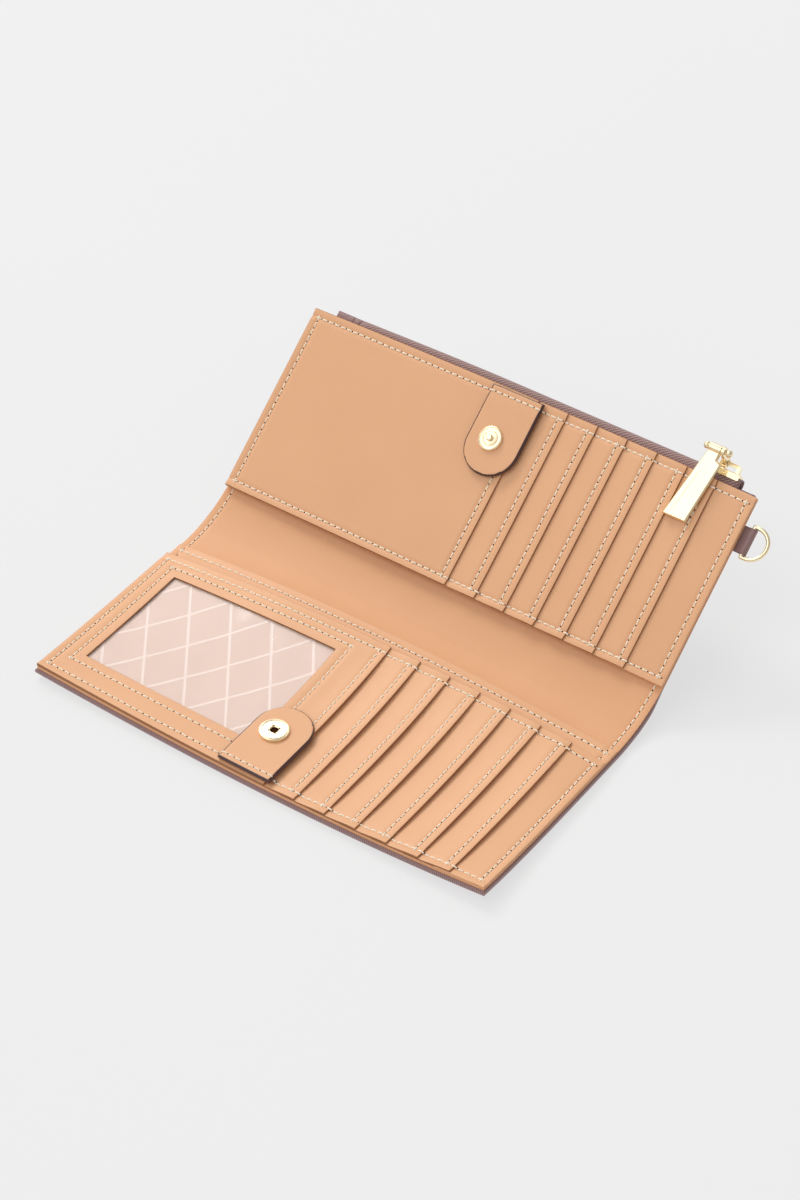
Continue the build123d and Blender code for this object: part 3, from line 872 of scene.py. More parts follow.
class Repeat(TreeKit):
    """Geometry Nodes tree that sets a small shape along a path, and its inputs."""

    def __init__(self, name: str, inputs: dict[str, object]) -> None:
        """Starts a tree.

        Args:
            name: The tree's name.
            inputs: Value of each named input.
        """
        super().__init__(bpy.data.node_groups.new(name, "GeometryNodeTree"))
        self.values = inputs
        face = self.tree.interface
        for way in ("INPUT", "OUTPUT"):
            face.new_socket("Geometry", in_out=way, socket_type="NodeSocketGeometry")
        kinds = {float: "NodeSocketFloat", int: "NodeSocketInt"}
        for key, value in inputs.items():
            face.new_socket(key, in_out="INPUT", socket_type=kinds.get(type(value), "NodeSocketMaterial"))
        self.source = self.tree.nodes.new("NodeGroupInput")
        self.sink = self.tree.nodes.new("NodeGroupOutput")

    def add(self, kind: str, **links: object) -> bpy.types.Node:
        """Adds a node. Each key is a property or an input, with _ for a space.

        Args:
            kind: The node's type.
            links: Properties, values and sockets by name.

        Returns:
            The node.
        """
        node = self.tree.nodes.new(kind)
        for key, value in links.items():
            if isinstance(value, str) or not (key.replace("_", " ") in node.inputs):
                setattr(node, key, value)
        for key, value in links.items():
            name = key.replace("_", " ")
            if isinstance(value, bpy.types.NodeSocket):
                self.join(value, node.inputs[name])
            elif not isinstance(value, str) and name in node.inputs:
                node.inputs[name].default_value = value
        return node

    def given(self, name: str) -> bpy.types.NodeSocket:
        """The socket of a named input."""
        return self.source.outputs[name]

    def vector(self, x: object = 0.0, y: object = 0.0, z: object = 0.0) -> bpy.types.NodeSocket:
        """A vector of sockets or numbers."""
        return self.fed("ShaderNodeCombineXYZ", x, y, z)

    def points(self, pitch: str) -> tuple[bpy.types.NodeSocket, bpy.types.NodeSocket]:
        """Points along the path at a pitch, and the turn that lines a shape up with it there.

        Args:
            pitch: Name of the input that holds the pitch.

        Returns:
            The points and the turn.
        """
        curve = self.add("GeometryNodeMeshToCurve", Mesh=self.given("Geometry"))
        spots = self.add("GeometryNodeCurveToPoints", mode="LENGTH", Curve=curve.outputs[0],
                         Length=self.given(pitch))
        up = self.add("GeometryNodeInputNamedAttribute", data_type="FLOAT_VECTOR")
        up.inputs["Name"].default_value = "surface_up"
        turn = self.fed("FunctionNodeAxesToRotation", up.outputs[0], spots.outputs["Tangent"],
                        primary_axis="Z", secondary_axis="X")
        return spots.outputs["Points"], turn

    def scatter(self, points: bpy.types.NodeSocket, turn: bpy.types.NodeSocket,
                shape: bpy.types.NodeSocket, material: str, wobble: float) -> bpy.types.NodeSocket:
        """Sets a shape on the points, slightly turned at random, as real geometry with a finish.

        Args:
            points: The points.
            turn: The turn at each.
            shape: The shape.
            material: Name of the finish's input.
            wobble: Most extra turn, in radians.

        Returns:
            The geometry.
        """
        chance = self.tree.nodes.new("FunctionNodeRandomValue")
        chance.data_type = "FLOAT"
        low, high = [s for s in chance.inputs if s.name in ("Min", "Max") and s.type == "VALUE"]
        low.default_value, high.default_value = -wobble, wobble
        self.join(self.given("Seed"), chance.inputs["Seed"])
        amount = next(s for s in chance.outputs if s.type == "VALUE")
        local = self.fed("FunctionNodeEulerToRotation", self.vector(z=amount))
        both = self.fed("FunctionNodeRotateRotation", turn, local, rotation_space="LOCAL")
        set_down = self.add("GeometryNodeInstanceOnPoints", Points=points, Instance=shape, Rotation=both)
        real = self.add("GeometryNodeRealizeInstances", Geometry=set_down.outputs[0])
        dressed = self.add("GeometryNodeSetMaterial", Geometry=real.outputs[0], Material=self.given(material))
        return dressed.outputs[0]

    def finish(self, *shapes: bpy.types.NodeSocket) -> None:
        """Joins the shapes as the tree's output."""
        joined = self.tree.nodes.new("GeometryNodeJoinGeometry")
        for shape in reversed(shapes):
            self.join(shape, joined.inputs[0])
        self.join(joined.outputs[0], self.sink.inputs[0])

    def run(self, name: str, paths: Sequence[tuple[Array, Array]]) -> bpy.types.Object:
        """Runs the tree on paths of (points, up directions) and returns a plain mesh object.

        Args:
            name: The object's name.
            paths: Points and up directions of each path.

        Returns:
            The object.
        """
        points, ups, edges = [], [], []
        for path, up in paths:
            start = len(points)
            points += path.tolist()
            ups += up.tolist()
            edges += [(k, k + 1) for k in range(start, len(points) - 1)]
        mesh = bpy.data.meshes.new(name + "_path")
        mesh.from_pydata(points, edges, [])
        up_data = mesh.attributes.new("surface_up", "FLOAT_VECTOR", "POINT")
        up_data.data.foreach_set("vector", np.array(ups, np.float32).ravel())
        carrier = link_object(name + "_path", mesh)
        modifier = carrier.modifiers.new("repeat", "NODES")
        modifier.node_group = self.tree
        for item in self.tree.interface.items_tree:
            if item.in_out == "INPUT" and item.name in self.values:
                modifier[item.identifier] = self.values[item.name]
        graph = bpy.context.evaluated_depsgraph_get()
        made = bpy.data.meshes.new_from_object(carrier.evaluated_get(graph))
        bpy.data.objects.remove(carrier)
        for layer in [a.name for a in made.attributes if a.name == "surface_up"]:
            made.attributes.remove(made.attributes[layer])
        for face in made.polygons:
            face.use_smooth = True
        return link_object(name, made)


@dataclass
class StitchRow:
    """Lockstitch: a raised bar of thread at each step, and a flattened dark dot of painted shade where its
    needle hole is.
    """

    pitch: float = 2.75 * MM
    length: float = 2.35 * MM
    thread: float = 0.29 * MM
    hole: float = 0.33 * MM
    seed: int = 7

    def tree(self) -> Repeat:
        """Builds the tree.

        Returns:
            The tree.
        """
        kit = Repeat("stitch_row", {
            "Pitch": self.pitch, "Stitch Length": self.length, "Thread Radius": self.thread,
            "Hole Radius": self.hole, "Seed": self.seed, "Thread": THREAD.make(), "Hole": HOLE_SHADE.make()})
        half = kit.math("MULTIPLY", kit.given("Stitch Length"), 0.5)
        back = kit.math("MULTIPLY", half, -1.0)
        sunk = kit.math("MULTIPLY", kit.given("Thread Radius"), -1.1)
        crown = kit.math("MULTIPLY", kit.given("Thread Radius"), 2.2)
        bar = kit.add("GeometryNodeCurveQuadraticBezier", Resolution=5, Start=kit.vector(back, 0.0, sunk),
                      Middle=kit.vector(0.0, 0.0, crown), End=kit.vector(half, 0.0, sunk))
        ring = kit.add("GeometryNodeCurvePrimitiveCircle", Resolution=6, Radius=kit.given("Thread Radius"))
        cord = kit.add("GeometryNodeCurveToMesh", Curve=bar.outputs[0], Profile_Curve=ring.outputs[0],
                       Fill_Caps=True)
        # The needle hole is a flattened dark dot standing slightly proud: painted shade, not a recess.
        ball = kit.add("GeometryNodeMeshUVSphere", Segments=8, Rings=5, Radius=kit.given("Hole Radius"))
        ahead = kit.math("MULTIPLY", kit.given("Pitch"), 0.5)
        pit = kit.add("GeometryNodeTransform", Geometry=ball.outputs[0],
                      Translation=kit.vector(ahead, 0.0, 0.0), Scale=kit.vector(1.0, 0.85, 0.28))
        points, turn = kit.points("Pitch")
        kit.finish(kit.scatter(points, turn, cord.outputs[0], "Thread", 0.07),
                   kit.scatter(points, turn, pit.outputs[0], "Hole", 0.0))
        return kit


@dataclass
class CoilRow:
    """One side of the zip's nylon coil: a bent loop at each tooth."""

    pitch: float = 1.25 * MM
    wire: float = 0.2 * MM
    wide: float = 0.62 * MM
    deep: float = 0.28 * MM
    seed: int = 3

    def tree(self) -> Repeat:
        """Builds the tree.

        Returns:
            The tree.
        """
        kit = Repeat("coil_row", {
            "Pitch": self.pitch, "Wire Radius": self.wire, "Half Width": self.wide,
            "Half Depth": self.deep, "Seed": self.seed, "Nylon": COIL.make()})
        loop = kit.add("GeometryNodeCurvePrimitiveCircle", Resolution=10, Radius=1.0)
        shaped = kit.add("GeometryNodeTransform", Geometry=loop.outputs[0],
                         Scale=kit.vector(kit.given("Half Width"), kit.given("Half Depth"), 1.0))
        upright = kit.add("GeometryNodeTransform", Geometry=shaped.outputs[0])
        upright.inputs["Rotation"].default_value = (math.radians(90), 0.0, math.radians(100))
        ring = kit.add("GeometryNodeCurvePrimitiveCircle", Resolution=6, Radius=kit.given("Wire Radius"))
        tooth = kit.add("GeometryNodeCurveToMesh", Curve=upright.outputs[0], Profile_Curve=ring.outputs[0])
        points, turn = kit.points("Pitch")
        kit.finish(kit.scatter(points, turn, tooth.outputs[0], "Nylon", 0.02))
        return kit


# ---------------------------------------------------------------- soft layers

@dataclass(frozen=True)
class Seam:
    """A straight line of stitching on a layer.

    Args:
        start: (x, v) of the first stitch.
        end: (x, v) of the last stitch.
    """

    start: tuple[float, float]
    end: tuple[float, float]

    def distance(self, x: Array, v: Array) -> Array:
        """Distance of each place from the line.

        Args:
            x: Places along x.
            v: Places along v.

        Returns:
            The distances.
        """
        a, b = np.array(self.start), np.array(self.end)
        run = b - a
        t = np.clip(((x - a[0]) * run[0] + (v - a[1]) * run[1]) / (run @ run), 0.0, 1.0)
        return np.hypot(x - a[0] - t * run[0], v - a[1] - t * run[1])

    def samples(self) -> tuple[Array, Array]:
        """Places along the line, about a millimetre apart."""
        a, b = np.array(self.start), np.array(self.end)
        t = np.linspace(0.0, 1.0, max(2, int(np.linalg.norm(b - a) / MM)))
        return a[0] + t * (b[0] - a[0]), a[1] + t * (b[1] - a[1])


@dataclass
class Layer:
    """One soft layer: a thin sheet on a bed, bent by a bow and drawn down along its seams.

    Args:
        name: The object's name.
        bed: Its working frame.
        outline: Its edges.
        top: Height of its upper face.
        thick: Its thickness.
        bow: How it departs from flat.
        finishes: Its finish.
        seams: Its stitching.
        shift: Extra movement along x.
        joined: Values of v at which it runs on into another piece.
        soft: Radius of its edges.
        step: Grid spacing.
        pull: How far a seam draws it down.
        pull_width: How wide a seam's groove is.
    """

    name: str
    bed: Bed | FoldBed
    outline: Outline
    top: Height
    thick: Height
    bow: Bow
    finishes: tuple[Finish, ...] = (TAN,)
    seams: Sequence[Seam] = ()
    shift: Height | None = None
    joined: Sequence[float] = ()
    soft: float = 0.28 * MM
    step: float = 2.6 * MM
    pull: float = 0.24 * MM
    pull_width: float = 0.9 * MM

    def height(self, x: Array, v: Array) -> Array:
        """Height of the upper face, seams included.

        Args:
            x: Places along x.
            v: Places along v.

        Returns:
            The heights.
        """
        h = self.top(x, v) + np.zeros_like(x)
        if self.seams:
            near = np.minimum.reduce([seam.distance(x, v) for seam in self.seams])
            h -= self.pull * np.exp(-((near / self.pull_width) ** 2))
        return h

    def settle(self, points: Array) -> Array:
        """Bows (x, v, h) rows and places them."""
        points = np.array(points, float)
        if self.shift is not None:
            points[:, 0] += self.shift(points[:, 0], points[:, 1])
        return self.bed.place(self.bow.bend(points))

    def along(self, seam: Seam) -> tuple[Array, Array]:
        """Points on the upper face along a seam, and the up direction at each."""
        x, v = seam.samples()
        points = np.stack([x, v, self.height(x, v)], axis=1)
        return self.settle(points), self.bed.up(points)

    def marks(self, axis: int) -> dict[float, float]:
        """Places on an axis that need closer grid lines.

        Args:
            axis: 0 for x, 1 for v.

        Returns:
            Reach of the closer lines at each place.
        """
        ends, hole = ((self.outline.x, self.outline.hole_x), (self.outline.v, self.outline.hole_v))[axis]
        marks = {end: self.soft for end in ends}
        if self.outline.has_hole():
            marks.update({end: self.soft for end in hole})
        for seam in self.seams:
            if seam.start[axis] == seam.end[axis]:
                marks[seam.start[axis]] = 2 * self.pull_width
        return marks

    def build(self) -> bpy.types.Object:
        """Builds the layer's mesh.

        Returns:
            The object.
        """
        out = self.outline
        xs = graded(*out.x, self.step, self.marks(0))
        vs = graded(*out.v, self.step, self.marks(1))
        x, v = np.meshgrid(xs, vs, indexing="ij")
        kept = None
        if out.has_hole():
            mid_x, mid_v = (xs[:-1] + xs[1:]) / 2, (vs[:-1] + vs[1:]) / 2
            in_x = (mid_x > out.hole_x[0]) & (mid_x < out.hole_x[1])
            in_v = (mid_v > out.hole_v[0]) & (mid_v < out.hole_v[1])
            kept = ~np.outer(in_x, in_v)
        inset = out.inset(x, v)
        if self.joined:
            wide = Outline(out.x, (out.v[0] - 1.0, out.v[1] + 1.0)).inset(x, v)
            inset = np.minimum.reduce([wide, *(np.abs(v - end) for end in out.v if end not in self.joined)])
        maker = SheetMesh(self.name, self.finishes, self.soft)
        thick = self.thick(x, v) + np.zeros_like(x)
        return maker.build(x, v, self.height(x, v), thick, inset, self.settle, kept)


def level(value: float) -> Height:
    """A height that is the same everywhere."""
    return lambda x, v: np.full_like(x, value)


class Slot(Enum):
    """The record's material slots."""

    COVER = "cover_leather"
    PANEL = "panel_leather"
    GUTTER = "gutter_lining"
    SATIN = "satin_lining"
    FILM = "clear_film"
    GOLD = "gold_hardware"
    TAPE = "zip_tape"
    COIL = "zip_coil"
    BOARD = "stiffener_board"


def settle_piece(piece: bpy.types.Object, body: str | tuple[str, str, Array, Array], slot: Slot,
                 *nodes: str) -> bpy.types.Object:
    """Gives a finished piece its body, hides the CAD nodes it stands for, and logs its slot.

    Args:
        piece: The piece.
        body: A body's name, or two bodies with the start and end of the bend between them.
        slot: Its material slot, which is only named in the log.
        nodes: The CAD nodes that it replaces.

    Returns:
        The piece.
    """
    if isinstance(body, str):
        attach(piece, body)
    else:
        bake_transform(piece, body[0], body[1], start=tuple(body[2]), end=tuple(body[3]))
    if nodes:
        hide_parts(*nodes)
    LOG.info("%s: %s, %s", piece.name, body if isinstance(body, str) else " to ".join(body[:2]), slot.value)
    return piece


@dataclass
class Cover:
    """The outer cover, from the near edge round both folds to the zip."""

    layout: Layout
    curl: float = CORNER_CURL
    bulge: float = NEAR_BULGE
    skin: float = 1.2 * MM
    rim: float = 3.0 * MM
    rim_slope: float = 0.8 * MM
    tuck: float = 0.7 * MM
    hide: float = 1.1 * MM
    hide_over: float = 16.0 * MM
    shy: float = 0.9 * MM
    taper: float = 14.0
    soft: float = 0.7 * MM

    def sag(self, along: Array, away: Array) -> Array:
        """How far the far cover hangs below the fold's level, at a distance from the far fold.

        Args:
            along: Places along x.
            away: Distances from the far fold.

        Returns:
            The drops.
        """
        lay = self.layout
        far_low, far_high = lay.far.extent("outer_cover_far")
        drop = -lay.fold_h - far_low[2]
        ends = np.abs(2 * along / lay.length - 1.0) ** self.taper
        return (drop * (1.0 - ends) - self.tuck * ends) * np.clip(away / far_high[1], 0.0, 1.0)

    def build(self) -> list[Layer]:
        """Builds the two halves of the cover, which meet in the middle of the spine.

        Returns:
            The near and far layers.
        """
        lay = self.layout
        bed = lay.folding()
        low, high = lay.near.extent("outer_cover_near")
        far_end = lay.far_fold + lay.far.extent("outer_cover_far")[1][1] - self.shy
        x = (low[0], high[0])
        middle = lay.middle()
        brim = high[2]

        def side(along: Array) -> Array:
            """1 on the rims of both ends, 0 between them."""
            inset = np.minimum(along - x[0], x[1] - along)
            return 1.0 - smooth((inset - self.rim) / self.rim_slope)

        def near_top(along: Array, v: Array) -> Array:
            """Upper face of the near piece, raised at its rims."""
            front = 1.0 - smooth((v - low[1] - self.rim) / self.rim_slope)
            return self.skin + (brim - self.skin) * np.maximum(side(along), front)

        def far_top(along: Array, v: Array) -> Array:
            """Upper face of the far piece, which sags between its rims."""
            fall = self.sag(along, v - lay.far_fold)
            return self.skin - fall + (brim - self.skin + fall) * side(along)

        def narrow(along: Array, v: Array) -> Array:
            """How far the far piece draws in under the panel."""
            share = (lay.length / 2 - along) / (lay.length / 2)
            return share * self.hide * smooth((v - lay.far_fold) / self.hide_over)

        near = Layer("outer_cover_front", bed, Outline(x, (low[1], middle)), near_top, near_top,
                     lay.near_bow(reach=lay.near_fold, curl=self.curl, bulge=self.bulge), (MAUVE,),
                     joined=(middle,), soft=self.soft)
        far = Layer("outer_cover_back", bed, Outline(x, (middle, far_end)), far_top,
                    lambda along, v: far_top(along, v) + self.sag(along, v - lay.far_fold),
                    lay.near_bow(reach=lay.near_fold), (MAUVE,), joined=(middle,), soft=self.soft,
                    shift=narrow)
        settle_piece(near.build(), lay.bend("near"), Slot.COVER, "outer_cover_near")
        settle_piece(far.build(), lay.bend("far"), Slot.COVER, "outer_cover_spine", "outer_cover_far")
        return [near, far]


@dataclass
class Stiffeners:
    """The three boards inside the cover."""

    layout: Layout
    soft: float = 0.12 * MM

    def build(self, near_bow: Bow) -> None:
        """Builds the boards.

        Args:
            near_bow: How the near half of the cover bows.
        """
        lay = self.layout
        still = Bow(lay.length, 0.0, 1, 1.0)
        for node, body, bed, curve, bow in (
                ("near_board", "near_half", lay.near, lay.folding(), near_bow),
                ("spine_board", "spine", lay.near, lay.folding(), still),
                ("far_board", "far_half", lay.far, lay.far_folding(), still)):
            x, v, h = bed.spans(node)
            layer = Layer(f"{body}_stiffener", curve, Outline(x, v), level(h[1]), level(h[1] - h[0]),
                          bow, (BOARD,), soft=self.soft, step=4 * MM)
            settle_piece(layer.build(), body, Slot.BOARD, node)


@dataclass
class Gutter:
    """The lining seen between the panels, in two pieces that meet in the middle of the spine."""

    layout: Layout
    curl: float = CORNER_CURL
    bulge: float = NEAR_BULGE
    billow: float = 2.2 * MM
    rise_from: float = 45.0 * MM
    rise_over: float = 33.0 * MM
    fall_from: float = 79.0 * MM
    fall_over: float = 20.0 * MM
    seam_in: float = SEAM_IN
    seam_from: float = 76.0 * MM
    seam_past: float = 20.0 * MM
    soft: float = 0.2 * MM
    pull: float = 0.15 * MM

    def build(self) -> list[Layer]:
        """Builds both pieces.

        Returns:
            The near and far layers.
        """
        lay = self.layout
        x, v, h = lay.near.spans("near_lining")
        middle = lay.middle()
        far_end = lay.far_fold + lay.far.extent("far_lining")[1][1]

        def near_top(along: Array, across: Array) -> Array:
            """Upper face of the near piece, which billows before the fold."""
            ends = np.clip((2 * along / lay.length - 1.0) ** 2, 0.0, 1.0)
            fall = smooth((across - self.fall_from) / self.fall_over)
            rise = smooth((across - self.rise_from) / self.rise_over) * (1.0 - fall)
            return h[1] + self.billow * (1.0 - ends) * rise

        def piece(name: str, stretch: Pair, top: Height, seams: Pair, **bow: float) -> Layer:
            """One piece, with a seam along both sides of a stretch of v."""
            sides = (x[0] + self.seam_in, x[1] - self.seam_in)
            return Layer(name, lay.folding(), Outline(x, stretch), top, level(h[1] - h[0]),
                         lay.near_bow(reach=lay.near_fold, **bow), (GUTTER,),
                         [Seam((side, seams[0]), (side, seams[1])) for side in sides], joined=(middle,),
                         soft=self.soft, pull=self.pull)

        near = piece("gutter_lining_front", (v[0], middle), near_top, (self.seam_from, middle),
                     curl=self.curl, bulge=self.bulge)
        far = piece("gutter_lining_back", (middle, far_end), level(h[1]),
                    (middle, lay.far_fold + self.seam_past))
        settle_piece(near.build(), lay.bend("near"), Slot.GUTTER, "near_lining")
        settle_piece(far.build(), lay.bend("far"), Slot.GUTTER, "spine_lining", "far_lining")
        return [near, far]


@dataclass
class CardPanel:
    """One half's card pockets: a front panel, six lapped pocket fronts and the base panel.

    Args:
        layout: Sizes and frames.
        side: "near" or "far".
        bed: The half's flat frame.
        curve: The same frame with the fold's curve.
        body: The half's body.
        front: The CAD node of the front panel.
        bow: How the panel's leather bows.
    """

    layout: Layout
    side: str
    bed: Bed
    curve: FoldBed
    body: str
    front: str
    bow: Bow
    seam_in: float = SEAM_IN
    lift: float = 0.8 * MM
    lean: float = 0.35 * MM
    bow_reach: float = 8.0 * MM
    leather: float = 0.65 * MM
    press: float = 0.24 * MM
    rim: float = 2.2 * MM
    window_seam: float = 4.0 * MM
    tuck: float = 5.5 * MM
    open_end: float = 2.0 * MM
    seam_gap: float = 0.25 * MM
    pockets: int = 6
    layers: list[Layer] = field(default_factory=list)

    def _open_edge(self, right: float, v: Pair) -> tuple[Height, Height]:
        """How far the open edge of a pocket lifts and leans out between its seams.

        Args:
            right: x of the open edge.
            v: The pocket's stretch of v.

        Returns:
            The lift and the lean.
        """
        def amount(x: Array, along: Array) -> Array:
            """1 in the middle of the open edge, 0 at its seams and away from it."""
            span = np.clip((along - v[0] - self.seam_in) / (v[1] - v[0] - 2 * self.seam_in), 0.0, 1.0)
            return np.sin(math.pi * span) ** 0.6 * smooth((x - right + self.bow_reach) / self.bow_reach)

        return (lambda x, along: self.lift * amount(x, along),
                lambda x, along: self.lean * amount(x, along))

    def _seams(self, x: Pair, v: Pair) -> list[Seam]:
        """Seams along both ends of the pockets and beside the open edge."""
        front, back, side = v[0] + self.seam_in, v[1] - self.seam_in, x[1] - self.seam_in
        return [Seam((x[0], front), (x[1], front)), Seam((x[0], back), (x[1], back)),
                Seam((side, front), (side, back))]

    def window(self) -> tuple[Pair, Pair]:
        """The hole in the front panel, or an empty one.

        Returns:
            Its stretches of x and v.
        """
        local = self.bed.local(self.front)
        low, high = local.min(0), local.max(0)
        top = local[local[:, 2] > high[2] - 0.01 * MM]
        inner = top[(top[:, 0] > low[0] + MM) & (top[:, 0] < high[0] - MM)]
        if not len(inner):
            return (1.0, -1.0), (1.0, -1.0)
        return (inner[:, 0].min(), inner[:, 0].max()), (inner[:, 1].min(), inner[:, 1].max())

    def _front_panel(self) -> Layer:
        """The wide front panel, with the window where it has one.

        Returns:
            The layer.
        """
        x, v, h = self.bed.spans(self.front)
        hole_x, hole_v = self.window()
        lift, lean = self._open_edge(x[1], v)
        deep = h[1] - h[0]

        def thick(along: Array, across: Array) -> Array:
            """Thickness: one leather inside, the whole depth at the sewn rim."""
            inset = np.minimum.reduce([along - x[0], across - v[0], v[1] - across])
            return self.leather + (deep - self.leather) * (1.0 - smooth((inset - self.rim) / MM))

        side = x[0] + self.seam_in
        seams = self._seams(x, v) + [Seam((side, v[0] + self.seam_in), (side, v[1] - self.seam_in))]
        if hole_x[1] > hole_x[0]:
            left, right = hole_x[0] - self.window_seam, hole_x[1] + self.window_seam
            low, high = hole_v[0] - self.window_seam, hole_v[1] + self.window_seam
            ring = ((left, low), (right, low), (right, high), (left, high), (left, low))
            seams += [Seam(a, b) for a, b in zip(ring, ring[1:])]
        # The rim and walls get the darker cut-edge finish, which also paints the shadow line along the open
        # edge.
        return Layer(f"{self.side}_front_panel", self.curve, Outline(x, v, hole_x, hole_v),
                     lambda a, b: h[1] + lift(a, b), thick, self.bow, (TAN, CUT_EDGE_SHADOW), seams, shift=lean,
                     pull=self.press)

    def _pocket(self, index: int) -> Layer:
        """One lapped pocket front, low where it is tucked in and high at its open edge.

        Args:
            index: Number of the pocket, from 1.

        Returns:
            The layer.
        """
        x, v, h = self.bed.spans(f"{self.side}_card_pocket_{index}")
        tuck = x[0] + self.tuck
        lift, lean = self._open_edge(x[1], v)
        base, rise = h[0] + self.leather, h[1] - h[0] - self.leather

        def top(a: Array, b: Array) -> Array:
            """Upper face."""
            return base + rise * smooth((a - tuck) / (x[1] - self.open_end - tuck)) + lift(a, b)

        # The rim and walls get the darker cut-edge finish, which also paints the shadow line along the open
        # edge.
        return Layer(f"{self.side}_pocket_{index}", self.curve, Outline(x, v), top, level(self.leather),
                     self.bow, (TAN, CUT_EDGE_SHADOW), self._seams(x, v), shift=lean, pull=self.press)

    def _base(self) -> Layer:
        """The plain panel past the last pocket."""
        x, v, h = self.bed.spans(f"{self.side}_base_panel")
        return Layer(f"{self.side}_base", self.curve, Outline(x, v), level(h[1]),
                     level(h[1] - h[0]), self.bow, (TAN,), self._seams(x, v))

    def build(self) -> list[Layer]:
        """Builds every layer of the panel.

        Returns:
            The layers from left to right.
        """
        numbers = range(1, self.pockets + 1)
        self.layers = [self._front_panel(), *(self._pocket(k) for k in numbers), self._base()]
        nodes = [self.front, *(f"{self.side}_card_pocket_{k}" for k in numbers), f"{self.side}_base_panel"]
        for layer, node in zip(self.layers, nodes):
            settle_piece(layer.build(), self.body, Slot.PANEL, node)
        return self.layers

    def across(self, v: float, skip: Pair | None = None) -> list[tuple[Layer, Seam]]:
        """The parts of a seam across all the layers, each on the layer that is on top there.

        Args:
            v: Where the seam is.
            skip: A stretch of x that something else covers.

        Returns:
            The layers and the part of the seam on each.
        """
        parts, start = [], self.layout.length - self.layers[-1].outline.x[1] + self.seam_in
        for layer in self.layers:
            end = layer.outline.x[1] - (self.seam_in if layer is self.layers[-1] else self.seam_gap)
            pieces = [(start, end)]
            if skip and start < skip[1] and end > skip[0]:
                pieces = [(start, skip[0]), (skip[1], end)]
            parts += [(layer, Seam((a, v), (b, v))) for a, b in pieces if b - a > 2 * self.seam_gap]
            start = end + 2 * self.seam_gap
        return parts

    def open_edge_seams(self) -> list[tuple[Layer, Seam]]:
        """The seam beside every open edge."""
        return [(layer, layer.seams[2]) for layer in self.layers[:-1]]


@dataclass
class BackPanels:
    """The full-width panels under the card pockets: near slip pocket and far bill pocket wall."""

    layout: Layout
    seam_in: float = SEAM_IN
    leather: float = 0.6 * MM

    def _panel(self, name: str, node: str, bed: Bed, curve: FoldBed, bow: Bow, free: int) -> Layer:
        """One panel with a seam beside its free edge.

        Args:
            name: The piece's name.
            node: The CAD node that it replaces.
            bed: Its flat frame.
            curve: Its frame with the fold's curve.
            bow: How it bows.
            free: +1 where the free edge has the larger v, -1 where it has the smaller.

        Returns:
            The layer.
        """
        x, v, h = bed.spans(node)
        edge = v[1] - self.seam_in if free > 0 else v[0] + self.seam_in
        sides = (x[0] + self.seam_in, x[1] - self.seam_in)
        seams = [Seam((sides[0], edge), (sides[1], edge)), *(Seam((s, v[0]), (s, v[1])) for s in sides)]
        return Layer(name, curve, Outline(x, v), level(h[1]), level(self.leather), bow, (TAN,), seams)

    def build(self, near_bow: Bow, far_bow: Bow) -> list[Layer]:
        """Builds both panels.

        Args:
            near_bow: How the near panel bows.
            far_bow: How the far panel bows.

        Returns:
            The near and far layers.
        """
        lay = self.layout
        near = self._panel("near_slip_pocket", "near_slip_panel", lay.near, lay.folding(), near_bow, 1)
        far = self._panel("far_bill_wall", "bill_pocket_wall", lay.far, lay.far_folding(), far_bow, -1)
        settle_piece(near.build(), "near_half", Slot.PANEL, "near_slip_panel")
        settle_piece(far.build(), "far_half", Slot.PANEL, "bill_pocket_wall")
        return [near, far]


@dataclass
class Window:
    """The clear film and the printed satin behind it."""

    layout: Layout
    bow: Bow
    ripple: float = 0.07 * MM
    wave: float = 17.0 * MM
    soft: float = 0.08 * MM

    def build(self) -> None:
        """Builds the film and the satin."""
        bed, turn = self.layout.near, 2 * math.pi / self.wave
        for node, name, finish, slot in (("id_window_film", "window_film", FILM, Slot.FILM),
                                         ("id_pocket_lining", "window_satin", SATIN, Slot.SATIN)):
            along, across, h = bed.spans(node)

            def top(x: Array, v: Array) -> Array:
                """Upper face, rippled."""
                wavy = np.sin(turn * (x + 0.4 * v)) + 0.6 * np.sin(turn * 0.7 * (v - 0.3 * x) + 1.0)
                return h[1] + self.ripple * wavy

            layer = Layer(name, bed, Outline(along, across), top, level(h[1] - h[0]), self.bow, (finish,),
                          soft=self.soft)
            piece = settle_piece(layer.build(), "near_half", slot, node)


@dataclass
class CoinPocket:
    """The two cloth walls inside the zipped pocket."""

    layout: Layout
    cover: Cover
    cloth: float = 0.3 * MM
    gap: float = 0.05 * MM

    def build(self) -> None:
        """Builds both walls."""
        bed = self.layout.far
        inside = self.cover.skin - self.layout.fold_h
        for node, sloped in (("coin_lining_outer", True), ("coin_lining_inner", False)):
            x, v, h = bed.spans(node)

            def top(a: Array, b: Array) -> Array:
                """Upper face: the outer wall lies on the cover."""
                rest = inside - self.cover.sag(a, b) + self.cloth + self.gap
                return np.minimum(rest, h[1]) if sloped else np.full_like(a, h[1])

            layer = Layer(node + "_cloth", bed, Outline(x, v), top, level(self.cloth),
                          self.layout.far_bow(v[1], reach=v[1] - v[0]), (SATIN,), soft=0.1 * MM, step=6 * MM)
            piece = settle_piece(layer.build(), "far_half", Slot.SATIN, node)


